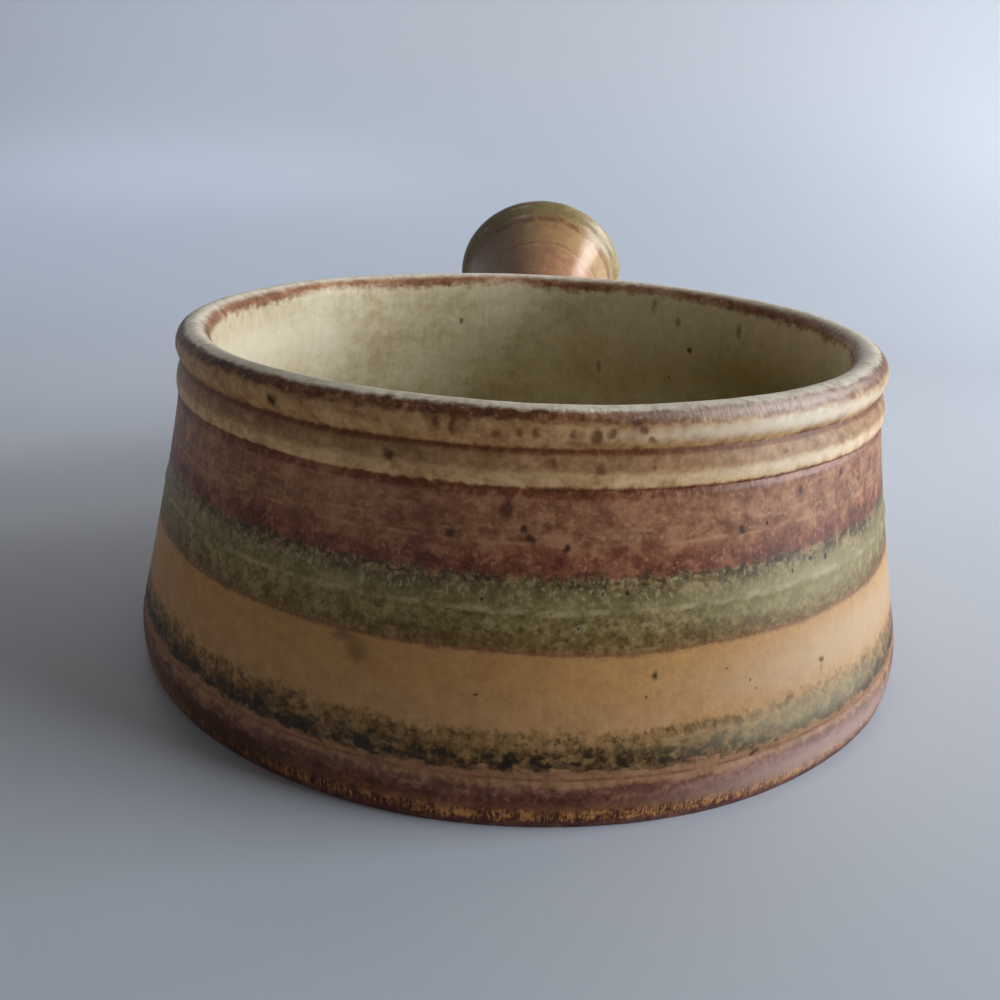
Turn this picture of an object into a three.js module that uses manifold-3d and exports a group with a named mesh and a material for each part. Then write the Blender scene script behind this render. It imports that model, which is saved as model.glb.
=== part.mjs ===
// Handled soup bowl of hand-thrown stoneware: a flared bowl with a rolled rim, a hollow trumpet handle
// luted to its wall, and a separate coat of glaze for each coloured band.
// Millimetres, +Z up. The origin is the centre of the flat base, and the handle points along +Y.

import * as THREE from "three";
import { mergeVertices } from "three/addons/utils/BufferGeometryUtils.js";
import Module from "manifold-3d";

const wasm = await Module();
wasm.setup();

// Bowl clay
const footRadius = 70.4; // widest part, at the foot bead
const footBevel = 1.5; // how far the bare edge under the foot bead is drawn in to the flat base
const shoulderRadius = 61.75; // top of the plain wall, under the rim bead
const rimRadius = 61.7; // outside of the rolled rim
const wallThickness = 4.9;
const floorThickness = 6.5;
const insideCornerRadius = 18; // round corner between the inside wall and the floor
const wallSweep = 1.17; // 1 draws the wall in straight, more draws it in faster near the foot

// Heights up the outside, stacked from the table: each band adds its own height to those below
const bareEdgeHeight = 2.3;
const footBeadHeight = 4.5;
const footStripHeight = 2.3;
const oliveBandHeight = 4.9;
const buffBandHeight = 10.5;
const greenBandHeight = 10;
const brownBandHeight = 11.1;
const rimBeadHeight = 6;

// Turned details of the wall
const footBeadBulge = 0.2;
const footGrooveDepth = 0.4;
const ridgeBulge = 0.35; // throwing ridge in the green band
const ridgeWidth = 2.2;
const ridgeDrop = 3.8; // from the top of the green band to the crest of the ridge
const rimBeadBulge = 0.7;
const rimGrooveAngle = THREE.MathUtils.degToRad(45); // where the roll leaves the groove, below its middle
const rimBreakAngle = THREE.MathUtils.degToRad(150); // where the rim glaze meets the liner, over the roll

// Handle clay
const handleHeight = 27.2; // of the handle's centre line where it meets the wall
const handleRise = THREE.MathUtils.degToRad(20.9);
const handleLength = 60;
const handleWaistRadius = 10.8;
const handleLipRadius = 23;
const handleFlarePower = 2.6; // how late the trumpet opens
const handleThickness = 4;
const rootFlare = 1.9; // extra radius where the root spreads onto the wall
const rootFlareLength = 12;
const lipRollRadius = 2.2;
const lipRollStart = THREE.MathUtils.degToRad(50); // where the roll leaves the flare, before its middle

// Coats and joints
const glazeThickness = 0.7;
const glazeSeat = 0.1; // between a coat and its clay
const coatJoint = 0.2; // between two coats
const boreGlazeDepth = 16; // how far the handle's glaze runs into its bore
const slipThickness = 1; // luting slip between the handle and the wall
const slipSeat = 0.3; // on each side of the slip

// Facets
const bowlSteps = 44;
const handleSteps = 28;
const rimBeadFacets = 5;
const rollFacets = 5;
const insideWallFacets = 3;
const insideCornerFacets = 4;
const handleFacets = 6;
const rootFacets = 3;

// Heights of the band edges
const footStripBottom = bareEdgeHeight + footBeadHeight;
const oliveBottom = footStripBottom + footStripHeight;
const buffBottom = oliveBottom + oliveBandHeight;
const greenBottom = buffBottom + buffBandHeight;
const brownBottom = greenBottom + greenBandHeight;
const shoulderHeight = brownBottom + brownBandHeight;
const rimGrooveHeight = shoulderHeight + rimBeadHeight;

// The rolled rim is as thick as the wall
const rollRadius = wallThickness / 2;
const rollCentre = point(rimRadius - rollRadius, rimGrooveHeight + rollRadius * Math.sin(rimGrooveAngle));

// The handle's root starts this far inside the wall, deep enough to be cut to the wall's curve all round
const rootReach = handleWaistRadius;

function point(radius, height) {
  return new THREE.Vector2(radius, height);
}

// Clay radius of the plain wall at a height between the foot bead and the shoulder.
function wallRadius(height) {
  const rest = (shoulderHeight - height) / (shoulderHeight - footStripBottom);
  return THREE.MathUtils.lerp(shoulderRadius, footRadius, Math.max(0, rest) ** wallSweep);
}

function onWall(height) {
  return point(wallRadius(height), height);
}

// Points on an arc, both ends included. Angle 0 points away from the axis, a quarter turn points up.
function arc(centre, radius, from, to, facets) {
  return Array.from({ length: facets + 1 }, (_, i) => {
    const angle = THREE.MathUtils.lerp(from, to, i / facets);
    return point(centre.x + radius * Math.cos(angle), centre.y + radius * Math.sin(angle));
  });
}

// The stretches of the bowl's clay surface, each from its lower or outer end to the next one's start.
function footStretch() {
  const grooveHeight = footStripBottom + footStripHeight / 3;
  return [
    point(footRadius, bareEdgeHeight),
    point(footRadius + footBeadBulge, bareEdgeHeight + footBeadHeight / 2),
    point(footRadius, footStripBottom),
    point(wallRadius(grooveHeight) - footGrooveDepth, grooveHeight),
    onWall(footStripBottom + (footStripHeight * 2) / 3),
    onWall(oliveBottom),
  ];
}

function greenStretch() {
  const crest = brownBottom - ridgeDrop;
  return [
    onWall(greenBottom),
    onWall(crest - ridgeWidth / 2),
    point(wallRadius(crest) + ridgeBulge, crest),
    onWall(crest + ridgeWidth / 2),
    onWall(brownBottom),
  ];
}

function rimStretch() {
  const roll = arc(rollCentre, rollRadius, -rimGrooveAngle, rimBreakAngle, rollFacets);
  const bead = Array.from({ length: rimBeadFacets }, (_, i) => {
    const turn = (Math.PI * i) / rimBeadFacets;
    const along = (1 - Math.cos(turn)) / 2;
    const straight = onWall(shoulderHeight).lerp(roll[0], along);
    return straight.add(point(rimBeadBulge * Math.sin(turn), 0));
  });
  return [...bead, ...roll];
}

function insideStretch() {
  const breakPoint = arc(rollCentre, rollRadius, rimBreakAngle, Math.PI, 1);
  const cornerTop = floorThickness + insideCornerRadius;
  const onInside = (height) => point(wallRadius(height) - wallThickness, height);
  const wall = Array.from({ length: insideWallFacets }, (_, i) =>
    onInside(THREE.MathUtils.lerp(shoulderHeight, cornerTop, i / insideWallFacets)),
  );
  const cornerFoot = onInside(floorThickness);
  const corner = new THREE.QuadraticBezierCurve(
    onInside(cornerTop),
    cornerFoot,
    point(cornerFoot.x - insideCornerRadius, floorThickness),
  );
  return [...breakPoint, ...wall, ...corner.getPoints(insideCornerFacets), point(0, floorThickness)];
}

// Joins stretches that share their end points into one line, and notes where each one starts and ends.
function joinStretches(stretches) {
  const line = [];
  const ends = stretches.map((stretch) => {
    const start = line.length ? line.length - 1 : 0;
    line.push(...(line.length ? stretch.slice(1) : stretch));
    return [start, line.length - 1];
  });
  return { line, ends };
}

// A line moved sideways by a distance, to the right of its direction, with mitred corners.
function offsetLine(line, distance) {
  const side = (a, b) => point(b.y - a.y, a.x - b.x).normalize();
  return line.map((here, i) => {
    const before = i > 0 ? side(line[i - 1], here) : side(here, line[i + 1]);
    const after = i < line.length - 1 ? side(here, line[i + 1]) : before;
    const mitre = before.clone().add(after).normalize();
    return here.clone().addScaledVector(mitre, distance / mitre.dot(before));
  });
}

// A line shortened at either end, along its first and last pieces.
function trimLine(line, startTrim, endTrim) {
  const towards = (from, to, length) => from.clone().add(to.clone().sub(from).setLength(length));
  const last = line.length - 1;
  return [
    towards(line[0], line[1], startTrim),
    ...line.slice(1, last),
    towards(line[last], line[last - 1], endTrim),
  ];
}

// Section of a coat over one stretch of a clay line, between the line of its seat and that of its skin.
function coatSection(clayLine, [start, end], startTrim, endTrim) {
  const stretchOf = (distance) => offsetLine(clayLine, distance).slice(start, end + 1);
  const seat = trimLine(stretchOf(glazeSeat), startTrim, endTrim);
  const skin = trimLine(stretchOf(glazeSeat + glazeThickness), startTrim, endTrim);
  return [...seat.reverse(), ...skin];
}

// Turns a section about the Z axis. A section that doesn't end on the axis is closed on itself.
function revolve(section, steps) {
  const closed = section[0].x === 0 ? section : [...section, section[0]];
  return new THREE.LatheGeometry(closed, steps).rotateX(Math.PI / 2);
}

// A closed geometry as a solid that can be joined and cut.
function solidOf(geometry) {
  const bare = geometry.clone();
  bare.deleteAttribute("normal");
  bare.deleteAttribute("uv");
  const merged = mergeVertices(bare);
  return new wasm.Manifold(
    new wasm.Mesh({
      numProp: 3,
      vertProperties: new Float32Array(merged.getAttribute("position").array),
      triVerts: new Uint32Array(merged.index.array),
    }),
  );
}

function geometryOf(solid) {
  const mesh = solid.getMesh();
  const geometry = new THREE.BufferGeometry();
  geometry.setAttribute("position", new THREE.BufferAttribute(mesh.vertProperties, 3));
  geometry.setIndex(new THREE.BufferAttribute(mesh.triVerts, 1));
  geometry.computeVertexNormals();
  return geometry;
}

// Bowl: one clay line from the base edge, up the wall, over the rim and down to the middle of the floor
const { line: bowlLine, ends } = joinStretches([
  [point(footRadius - footBevel, 0), point(footRadius, bareEdgeHeight)],
  footStretch(),
  [onWall(oliveBottom), onWall(buffBottom)],
  [onWall(buffBottom), onWall((buffBottom + greenBottom) / 2), onWall(greenBottom)],
  greenStretch(),
  [onWall(brownBottom), onWall((brownBottom + shoulderHeight) / 2), onWall(shoulderHeight)],
  rimStretch(),
  insideStretch(),
]);
const [bareEdgeEnds, footEnds, oliveEnds, buffEnds, greenEnds, brownEnds, rimEnds, linerEnds] = ends;

// Outside of the bowl as a solid, grown by a gap, for cutting what stands on its wall.
function bowlOutside(gap) {
  const outside = offsetLine(bowlLine, gap).slice(bareEdgeEnds[0], rimEnds[1] + 1);
  const bottom = outside[0];
  const top = outside[outside.length - 1];
  return revolve([point(0, bottom.y), ...outside, point(0, top.y)], bowlSteps);
}

// Handle: it stands on the wall and runs along +Z in its own frame
const handleFrame = new THREE.Group();
handleFrame.position.set(0, wallRadius(handleHeight), handleHeight);
handleFrame.rotation.x = handleRise - Math.PI / 2;
handleFrame.updateMatrix();

// Bore radius at a distance from the wall: straight at the root, then opening like a trumpet.
function boreRadius(distance) {
  const opening = Math.max(0, distance / handleLength) ** handleFlarePower;
  return handleWaistRadius - handleThickness + (handleLipRadius - handleWaistRadius) * opening;
}

function handleRadius(distance) {
  const spread = Math.max(0, 1 - Math.max(0, distance) / rootFlareLength) ** 2;
  return boreRadius(distance) + handleThickness + rootFlare * spread;
}

const lipCentre = point(handleLipRadius - lipRollRadius, handleLength - lipRollRadius);
const flareEnd = handleLength - 2 * lipRollRadius;
const boreGlazeEnd = handleLength - boreGlazeDepth;

// Distances from the wall: the inner end, the spreading root in short steps, then the trumpet.
function handleDistances() {
  const root = Array.from({ length: rootFacets }, (_, i) => (rootFlareLength * i) / rootFacets);
  const trumpet = Array.from({ length: handleFacets + 1 }, (_, i) =>
    THREE.MathUtils.lerp(rootFlareLength, flareEnd, i / handleFacets),
  );
  return [-rootReach, ...root, ...trumpet];
}

const outsideOfHandle = handleDistances().map((distance) => point(handleRadius(distance), distance));
const lipRoll = arc(lipCentre, lipRollRadius, -lipRollStart, Math.PI, rollFacets);
const glazedBore = [1, 0].map((share) => {
  const distance = THREE.MathUtils.lerp(boreGlazeEnd, flareEnd, share);
  return point(boreRadius(distance), distance);
});
const bareBore = handleDistances()
  .filter((distance) => distance < boreGlazeEnd - lipRollRadius)
  .reverse()
  .map((distance) => point(boreRadius(distance), distance));
const handleLine = [...outsideOfHandle, ...lipRoll, ...glazedBore, ...bareBore];
const handleCoatEnds = [0, outsideOfHandle.length + lipRoll.length + glazedBore.length - 1];

// Cuts a solid of the handle to the bowl's wall, with a gap to the clay.
function copeToWall(geometry, gap) {
  const wall = bowlOutside(gap).applyMatrix4(handleFrame.matrix.clone().invert());
  return solidOf(geometry).subtract(solidOf(wall));
}

// Layer of slip that fills the joint: the root of the handle, inset all round, where it meets the wall.
function slipGeometry() {
  const outside = offsetLine(outsideOfHandle, -slipSeat).filter((place) => place.y < rootFlareLength);
  const bore = boreRadius(0) + slipSeat;
  const ring = [...outside, point(bore, outside[outside.length - 1].y), point(bore, -rootReach)];
  const layer = bowlOutside(slipSeat + slipThickness).applyMatrix4(handleFrame.matrix.clone().invert());
  return geometryOf(copeToWall(revolve(ring, handleSteps), slipSeat).intersect(solidOf(layer)));
}

// Space that the glazed root of the handle takes up in the coats on the wall.
function handleRootSpace() {
  const skin = offsetLine(outsideOfHandle, glazeSeat + glazeThickness + coatJoint);
  const root = skin.filter((place) => place.y < handleLength / 2);
  const section = [point(0, root[0].y), ...root, point(0, root[root.length - 1].y)];
  return solidOf(revolve(section, handleSteps).applyMatrix4(handleFrame.matrix));
}

const rootSpace = handleRootSpace();

// A coat on the outside of the bowl, cut round the root of the handle.
function wallCoat(coatEnds) {
  const section = coatSection(bowlLine, coatEnds, coatJoint / 2, coatJoint / 2);
  return geometryOf(solidOf(revolve(section, bowlSteps)).subtract(rootSpace));
}

function linerCoat() {
  return revolve(coatSection(bowlLine, linerEnds, coatJoint / 2, 0), bowlSteps);
}

function handleCoat() {
  const section = coatSection(handleLine, handleCoatEnds, 0, 0);
  return geometryOf(copeToWall(revolve(section, handleSteps), slipSeat));
}

function handleClay() {
  const gap = slipSeat + slipThickness + slipSeat;
  return geometryOf(copeToWall(revolve(handleLine, handleSteps), gap));
}

function piece(name, geometry, color, roughness) {
  const material = new THREE.MeshStandardMaterial({ color, roughness, metalness: 0 });
  const mesh = new THREE.Mesh(geometry, material);
  mesh.name = name;
  return mesh;
}

const bowl = new THREE.Group();
bowl.add(
  piece("bowl_body", revolve([point(0, 0), ...bowlLine], bowlSteps), "#6f4a38", 0.85),
  piece("liner_glaze", linerCoat(), "#cdbb90", 0.3),
  piece("rim_glaze", wallCoat(rimEnds), "#c4ad85", 0.35),
  piece("brown_band_glaze", wallCoat(brownEnds), "#80543f", 0.4),
  piece("green_band_glaze", wallCoat(greenEnds), "#7d7b4c", 0.45),
  piece("buff_band_glaze", wallCoat(buffEnds), "#bd925f", 0.4),
  piece("olive_band_glaze", wallCoat(oliveEnds), "#5f5735", 0.45),
  piece("foot_band_glaze", wallCoat(footEnds), "#7b5a48", 0.45),
);

handleFrame.add(
  piece("handle", handleClay(), "#6f4a38", 0.85),
  piece("luting_slip", slipGeometry(), "#77513e", 0.9),
  piece("handle_glaze", handleCoat(), "#a9845c", 0.35),
);
bowl.add(handleFrame);

export default bowl;
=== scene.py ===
"""Handled soup bowl of hand-thrown stoneware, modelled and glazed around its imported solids.

Metres, +Z up. The origin is the centre of the flat base, and the handle points along +Y.
Sizes of the meshes are written in millimetres times MM. Finishes count in millimetres.
"""

import logging
import math
from bisect import bisect
from dataclasses import dataclass, replace
from enum import Enum
from itertools import pairwise

import bpy
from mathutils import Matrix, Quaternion, Vector


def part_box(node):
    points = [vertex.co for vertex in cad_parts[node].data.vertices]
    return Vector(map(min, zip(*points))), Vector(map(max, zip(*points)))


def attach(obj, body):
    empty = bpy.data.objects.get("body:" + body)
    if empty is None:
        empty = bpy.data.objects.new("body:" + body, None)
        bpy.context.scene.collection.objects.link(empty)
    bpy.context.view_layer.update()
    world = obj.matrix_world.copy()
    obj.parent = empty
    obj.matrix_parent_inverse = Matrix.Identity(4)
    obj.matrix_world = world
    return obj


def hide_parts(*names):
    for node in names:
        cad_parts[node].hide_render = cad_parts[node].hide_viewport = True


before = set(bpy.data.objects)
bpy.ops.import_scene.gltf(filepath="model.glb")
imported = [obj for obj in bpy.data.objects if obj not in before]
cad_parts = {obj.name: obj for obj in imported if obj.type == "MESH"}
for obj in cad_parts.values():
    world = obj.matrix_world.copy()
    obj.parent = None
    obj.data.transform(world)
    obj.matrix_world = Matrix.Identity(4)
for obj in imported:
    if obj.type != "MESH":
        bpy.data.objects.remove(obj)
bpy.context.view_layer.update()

log = logging.getLogger("handled_bowl")

MM = 0.001
BODY = "root"
FULL_TURN = 2 * math.pi
UP = Vector((0.0, 0.0, 1.0))

# Distance under which points of a turned line are one.
WELD = 0.001 * MM

# Distance under which the slivers of a cut are merged.
SLIVER = 0.02 * MM

# Brightness of a cloud that leaves the surface where it is.
LEVEL_CLOUD = 0.8

# Steps in an arc or another curved stretch of a section.
ARC_STEPS = 24

Socket = bpy.types.NodeSocket
Feed = Socket | float | tuple | None
Rgb = tuple[float, float, float]


def paint(code: str) -> Rgb:
    """Turns a hex colour code into linear light.

    Args:
        code: Six hex digits after a hash sign.

    Returns:
        Red, green and blue from 0 to 1.
    """
    shares = [int(code[i:i + 2], 16) / 255 for i in (1, 3, 5)]
    return tuple(s / 12.92 if s <= 0.04045 else ((s + 0.055) / 1.055) ** 2.4 for s in shares)


def spaced(start: float, end: float, steps: int) -> list[float]:
    """Gives evenly spaced numbers from a start to an end, with both of them."""
    return [start + (end - start) * i / steps for i in range(steps + 1)]


def even_steps(line: list[Vector], spacing: float) -> list[Vector]:
    """Sets points at even steps along a line.

    Args:
        line: Points of the line.
        spacing: Length of a step.

    Returns:
        The new points, with both ends kept.
    """
    marks = [0.0]
    for here, there in pairwise(line):
        marks.append(marks[-1] + (there - here).length)
    count = max(2, round(marks[-1] / spacing))
    points = []
    index = 0
    for step in range(count + 1):
        target = marks[-1] * step / count
        while index < len(line) - 2 and marks[index + 1] < target:
            index += 1
        share = (target - marks[index]) / (marks[index + 1] - marks[index])
        points.append(line[index].lerp(line[index + 1], share))
    return points


def soften(line: list[Vector], rounds: int) -> list[Vector]:
    """Rounds the corners of an even line.

    Args:
        line: Points of the line.
        rounds: How often each point moves towards its neighbours.

    Returns:
        The softened points, with both ends kept.
    """
    for _ in range(rounds):
        middle = [(a + 2 * b + c) / 4 for a, b, c in zip(line, line[1:], line[2:])]
        line = [line[0], *middle, line[-1]]
    return line


def swell(place: float, centre: float, width: float) -> float:
    """Gives a smooth hump of height 1, as wide as a fingertip's mark."""
    return math.exp(-(((place - centre) / width) ** 2))


@dataclass(frozen=True)
class Unevenness:
    """A gentle unevenness left by the hand or by the running glaze."""

    name: str
    size: float
    depth: float


HAND = Unevenness("hand_unevenness", 34 * MM, 0.5 * MM)
GLAZE_RUN = Unevenness("glaze_unevenness", 4.5 * MM, 0.09 * MM)
CLAY_GRIT = Unevenness("clay_grit", 1.6 * MM, 0.12 * MM)


class Wheel:
    """Modelling moves, made with Blender's own operators on one piece at a time."""

    @staticmethod
    def take(piece: bpy.types.Object) -> None:
        """Selects one piece and makes it the active one.

        Args:
            piece: The piece.
        """
        bpy.ops.object.select_all(action="DESELECT")
        piece.select_set(True)
        bpy.context.view_layer.objects.active = piece

    @classmethod
    def open(cls, piece: bpy.types.Object, action: str = "SELECT") -> None:
        """Opens a piece for editing, with all of it selected or none.

        Args:
            piece: The piece.
            action: SELECT or DESELECT.
        """
        cls.take(piece)
        bpy.ops.object.mode_set(mode="EDIT")
        bpy.ops.mesh.select_all(action=action)

    @staticmethod
    def draw(name: str, line: list[Vector]) -> bpy.types.Object:
        """Draws a line as a chain of edges, by pulling one vertex along it.

        Args:
            name: Name of the piece.
            line: Points of the line.

        Returns:
            The piece, left in edit mode with the whole line selected.
        """
        bpy.ops.object.select_all(action="DESELECT")
        bpy.ops.mesh.primitive_plane_add(size=1 * MM)
        piece = bpy.context.object
        piece.name = name
        bpy.ops.object.mode_set(mode="EDIT")
        bpy.ops.mesh.select_all(action="SELECT")
        bpy.ops.mesh.merge(type="CENTER")
        bpy.ops.transform.translate(value=line[0])
        for here, there in pairwise(line):
            bpy.ops.mesh.extrude_vertices_move(TRANSFORM_OT_translate={"value": there - here})
        bpy.ops.mesh.select_all(action="SELECT")
        return piece

    @classmethod
    def throw(
        cls,
        name: str,
        line: list[Vector],
        steps: int,
        centre: Vector,
        axis: Vector,
        inward: bool = False,
    ) -> bpy.types.Object:
        """Turns a line about an axis into a skin.

        Args:
            name: Name of the piece.
            line: Points of the line, in a plane through the axis.
            steps: Number of steps round the turn.
            centre: A point on the axis.
            axis: Direction of the axis.
            inward: True where the skin faces its axis.

        Returns:
            The piece, in object mode.
        """
        piece = cls.draw(name, line)
        bpy.ops.mesh.spin(steps=steps, angle=FULL_TURN, center=centre, axis=axis)
        bpy.ops.mesh.select_all(action="SELECT")
        bpy.ops.mesh.remove_doubles(threshold=WELD)
        bpy.ops.mesh.normals_make_consistent(inside=inward)
        bpy.ops.object.mode_set(mode="OBJECT")
        return piece

    @classmethod
    def shape(cls, piece: bpy.types.Object, kind: str, **settings: object) -> None:
        """Adds a modifier to a piece and applies it.

        Args:
            piece: The piece.
            kind: The modifier's type.
            settings: Its settings.
        """
        cls.take(piece)
        bpy.ops.object.modifier_add(type=kind)
        modifier = piece.modifiers[-1]
        for name, value in settings.items():
            setattr(modifier, name, value)
        bpy.ops.object.modifier_apply(modifier=modifier.name)

    @classmethod
    def make_uneven(cls, piece: bpy.types.Object, *marks: Unevenness) -> None:
        """Moves the surface in and out by each unevenness.

        Args:
            piece: The piece.
            marks: The kinds of unevenness.
        """
        for mark in marks:
            clouds = bpy.data.textures.get(mark.name) or bpy.data.textures.new(mark.name, "CLOUDS")
            clouds.noise_scale = mark.size
            clouds.noise_depth = 1
            settings = {"texture": clouds, "texture_coords": "LOCAL", "mid_level": LEVEL_CLOUD}
            cls.shape(piece, "DISPLACE", strength=mark.depth, **settings)

    @classmethod
    def thicken(cls, skin: bpy.types.Object, thickness: float) -> None:
        """Gives a skin a thickness on its inner side."""
        cls.shape(skin, "SOLIDIFY", thickness=thickness, offset=-1.0, use_even_offset=True)

    @classmethod
    def cut(cls, piece: bpy.types.Object, tool: bpy.types.Object) -> None:
        """Cuts a closed piece by another closed one."""
        cls.shape(piece, "BOOLEAN", operation="DIFFERENCE", object=tool, solver="MANIFOLD")

    @classmethod
    def clean(cls, piece: bpy.types.Object) -> None:
        """Merges the slivers that a cut leaves and splits its many-sided faces.

        Args:
            piece: The piece.
        """
        cls.open(piece)
        bpy.ops.mesh.remove_doubles(threshold=SLIVER)
        bpy.ops.mesh.quads_convert_to_tris(quad_method="BEAUTY", ngon_method="BEAUTY")
        bpy.ops.mesh.dissolve_degenerate(threshold=SLIVER / 2)
        bpy.ops.object.mode_set(mode="OBJECT")

    @classmethod
    def close_ends(cls, piece: bpy.types.Object) -> None:
        """Fills the open ends of a skin, so that it becomes a solid.

        Args:
            piece: The skin.
        """
        cls.open(piece, "DESELECT")
        bpy.ops.mesh.select_mode(type="EDGE")
        bpy.ops.mesh.select_non_manifold()
        bpy.ops.mesh.edge_face_add()
        bpy.ops.mesh.select_all(action="SELECT")
        bpy.ops.mesh.normals_make_consistent(inside=False)
        bpy.ops.mesh.select_mode(type="VERT")
        bpy.ops.object.mode_set(mode="OBJECT")

    @classmethod
    def flatten_base(cls, piece: bpy.types.Object, depth: float) -> None:
        """Presses the underside of a piece flat on the table.

        Args:
            piece: The piece.
            depth: Height up to which it is pressed.
        """
        cls.open(piece, "DESELECT")
        bpy.ops.mesh.select_mode(type="VERT")
        bpy.ops.object.mode_set(mode="OBJECT")
        for vertex in piece.data.vertices:
            vertex.select = vertex.co.z < depth
        bpy.ops.object.mode_set(mode="EDIT")
        bpy.ops.transform.resize(value=(1.0, 1.0, 0.0), center_override=(0.0, 0.0, 0.0))
        bpy.ops.object.mode_set(mode="OBJECT")

    @classmethod
    def finish(cls, piece: bpy.types.Object, crease: float = 38.0) -> None:
        """Shades a piece smooth and keeps its creases.

        Args:
            piece: The piece.
            crease: Smallest angle of a crease, in degrees.
        """
        cls.take(piece)
        bpy.ops.object.shade_smooth_by_angle(angle=math.radians(crease))


# Share of the largest scattered spot's radius that the smallest has.
SMALLEST_SPOT = 0.3

# Share of a scattered spot's radius that is its even core.
SPOT_CORE = 0.55


@dataclass(frozen=True)
class Cloud:
    """Cloudy noise: a cloud's width, how many times taller than wide it is, and its finer layers."""

    size: float
    tall: float = 1.0
    detail: float = 2.0
    rough: float = 0.55


class Sheet:
    """A node tree that is drawn step by step."""

    def __init__(self, tree: bpy.types.NodeTree) -> None:
        """Takes the tree to draw in."""
        self.tree = tree

    def node(self, kind: str, *feeds: Feed, **settings: object) -> bpy.types.Node:
        """Adds a node.

        Args:
            kind: The node's type.
            feeds: A link or a value for each input in turn, None where it keeps its own.
            settings: The node's settings.

        Returns:
            The node.
        """
        node = self.tree.nodes.new(kind)
        for name, value in settings.items():
            setattr(node, name, value)
        for socket, feed in zip(node.inputs, feeds):
            self.feed(socket, feed)
        return node

    def feed(self, socket: Socket, feed: Feed) -> None:
        """Links an input to an output, or sets its value.

        Args:
            socket: The input.
            feed: An output, a number, a vector, a colour or None.
        """
        if isinstance(feed, Socket):
            self.tree.links.new(feed, socket)
        elif feed is not None:
            socket.default_value = (*feed, 1.0) if socket.type == "RGBA" else feed

    def math(self, operation: str, *values: Feed, clamp: bool = False) -> Socket:
        """Adds a Math node and gives its output."""
        return self.node("ShaderNodeMath", *values, operation=operation, use_clamp=clamp).outputs[0]

    def vector(self, operation: str, *values: Feed) -> Socket:
        """Adds a Vector Math node and gives its output."""
        node = self.node("ShaderNodeVectorMath", *values, operation=operation)
        return node.outputs["Value" if operation in ("DISTANCE", "LENGTH", "DOT_PRODUCT") else "Vector"]

    def mix(self, share: Feed, low: Feed, high: Feed, blend: str = "MIX") -> Socket:
        """Mixes two colours.

        Args:
            share: Share of the second colour.
            low: The first colour.
            high: The second colour.
            blend: How the second colour is laid on the first.

        Returns:
            The mixed colour.
        """
        node = self.node("ShaderNodeMix", data_type="RGBA", blend_type=blend)
        for index, feed in ((0, share), (6, low), (7, high)):
            self.feed(node.inputs[index], feed)
        return node.outputs[2]

    def rise(self, value: Feed, low: Feed, high: Feed, bottom: Feed = 0.0, top: Feed = 1.0) -> Socket:
        """Turns a value into a soft step.

        Args:
            value: The value.
            low: Where the step starts. It may lie above its end.
            high: Where the step ends.
            bottom: The result before the step.
            top: The result after the step.

        Returns:
            The stepped value.
        """
        node = self.node(
            "ShaderNodeMapRange", value, low, high, bottom, top, interpolation_type="SMOOTHSTEP"
        )
        return node.outputs[0]

    def shrink(self, place: Feed, size: float, tall: float = 1.0) -> Socket:
        """Measures a place in steps of a size, which may be taller than wide."""
        return self.vector("MULTIPLY", place, (1 / size, 1 / size, 1 / (size * tall)))

    def noise(self, place: Feed, cloud: Cloud) -> Socket:
        """Adds cloudy noise, about 0.5."""
        where = self.shrink(place, cloud.size, cloud.tall)
        return self.node("ShaderNodeTexNoise", where, None, 1.0, cloud.detail, cloud.rough).outputs[0]

    def colour_noise(self, place: Feed, size: float) -> Socket:
        """Adds noise of three values, about 0 each.

        Args:
            place: Where the noise is read.
            size: Size of a cloud.

        Returns:
            The three values.
        """
        where = self.shrink(place, size)
        noise = self.node("ShaderNodeTexNoise", where, None, 1.0, 1.0, 0.5)
        return self.vector("SUBTRACT", noise.outputs["Color"], (0.5, 0.5, 0.5))

    def spots(self, place: Feed, spacing: float, tall: float, size: float, share: float) -> Socket:
        """Scatters round spots.

        Args:
            place: Where the spots are read, in millimetres.
            spacing: Distance between places that may hold a spot.
            tall: How many times taller than wide a spot is.
            size: Largest radius of a spot.
            share: Share of the places that hold one.

        Returns:
            A mask that is 1 in a spot.
        """
        where = self.shrink(place, spacing, tall)
        cells = self.node("ShaderNodeTexVoronoi", where, None, 1.0)
        draws = self.node("ShaderNodeSeparateColor", cells.outputs["Color"])
        held = self.math("LESS_THAN", draws.outputs[0], share)
        most = size / spacing
        least = SMALLEST_SPOT * most
        radius = self.math("MULTIPLY_ADD", draws.outputs[1], most - least, least)
        edge = self.math("DIVIDE", cells.outputs["Distance"], radius)
        return self.math("MULTIPLY", self.rise(edge, 1.0, SPOT_CORE), held)

    def ramp(self, value: Feed, places: tuple[float, ...], codes: tuple[str, ...]) -> Socket:
        """Turns a value into a colour between three tones.

        Args:
            value: The value.
            places: The value of each tone.
            codes: Hex code of each tone.

        Returns:
            The colour.
        """
        ramp = self.node("ShaderNodeValToRGB", value)
        stops = ramp.color_ramp.elements
        stops.new(places[1])
        for stop, place, code in zip(stops, places, codes):
            stop.position = place
            stop.color = (*paint(code), 1.0)
        return ramp.outputs[0]

    def group(self, tree: bpy.types.NodeTree, **feeds: Feed) -> bpy.types.Node:
        """Places a node group.

        Args:
            tree: The group.
            feeds: Its inputs by name.

        Returns:
            The group's node.
        """
        node = self.node("ShaderNodeGroup", node_tree=tree)
        for name, feed in feeds.items():
            self.feed(node.inputs[name], feed)
        return node

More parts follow.
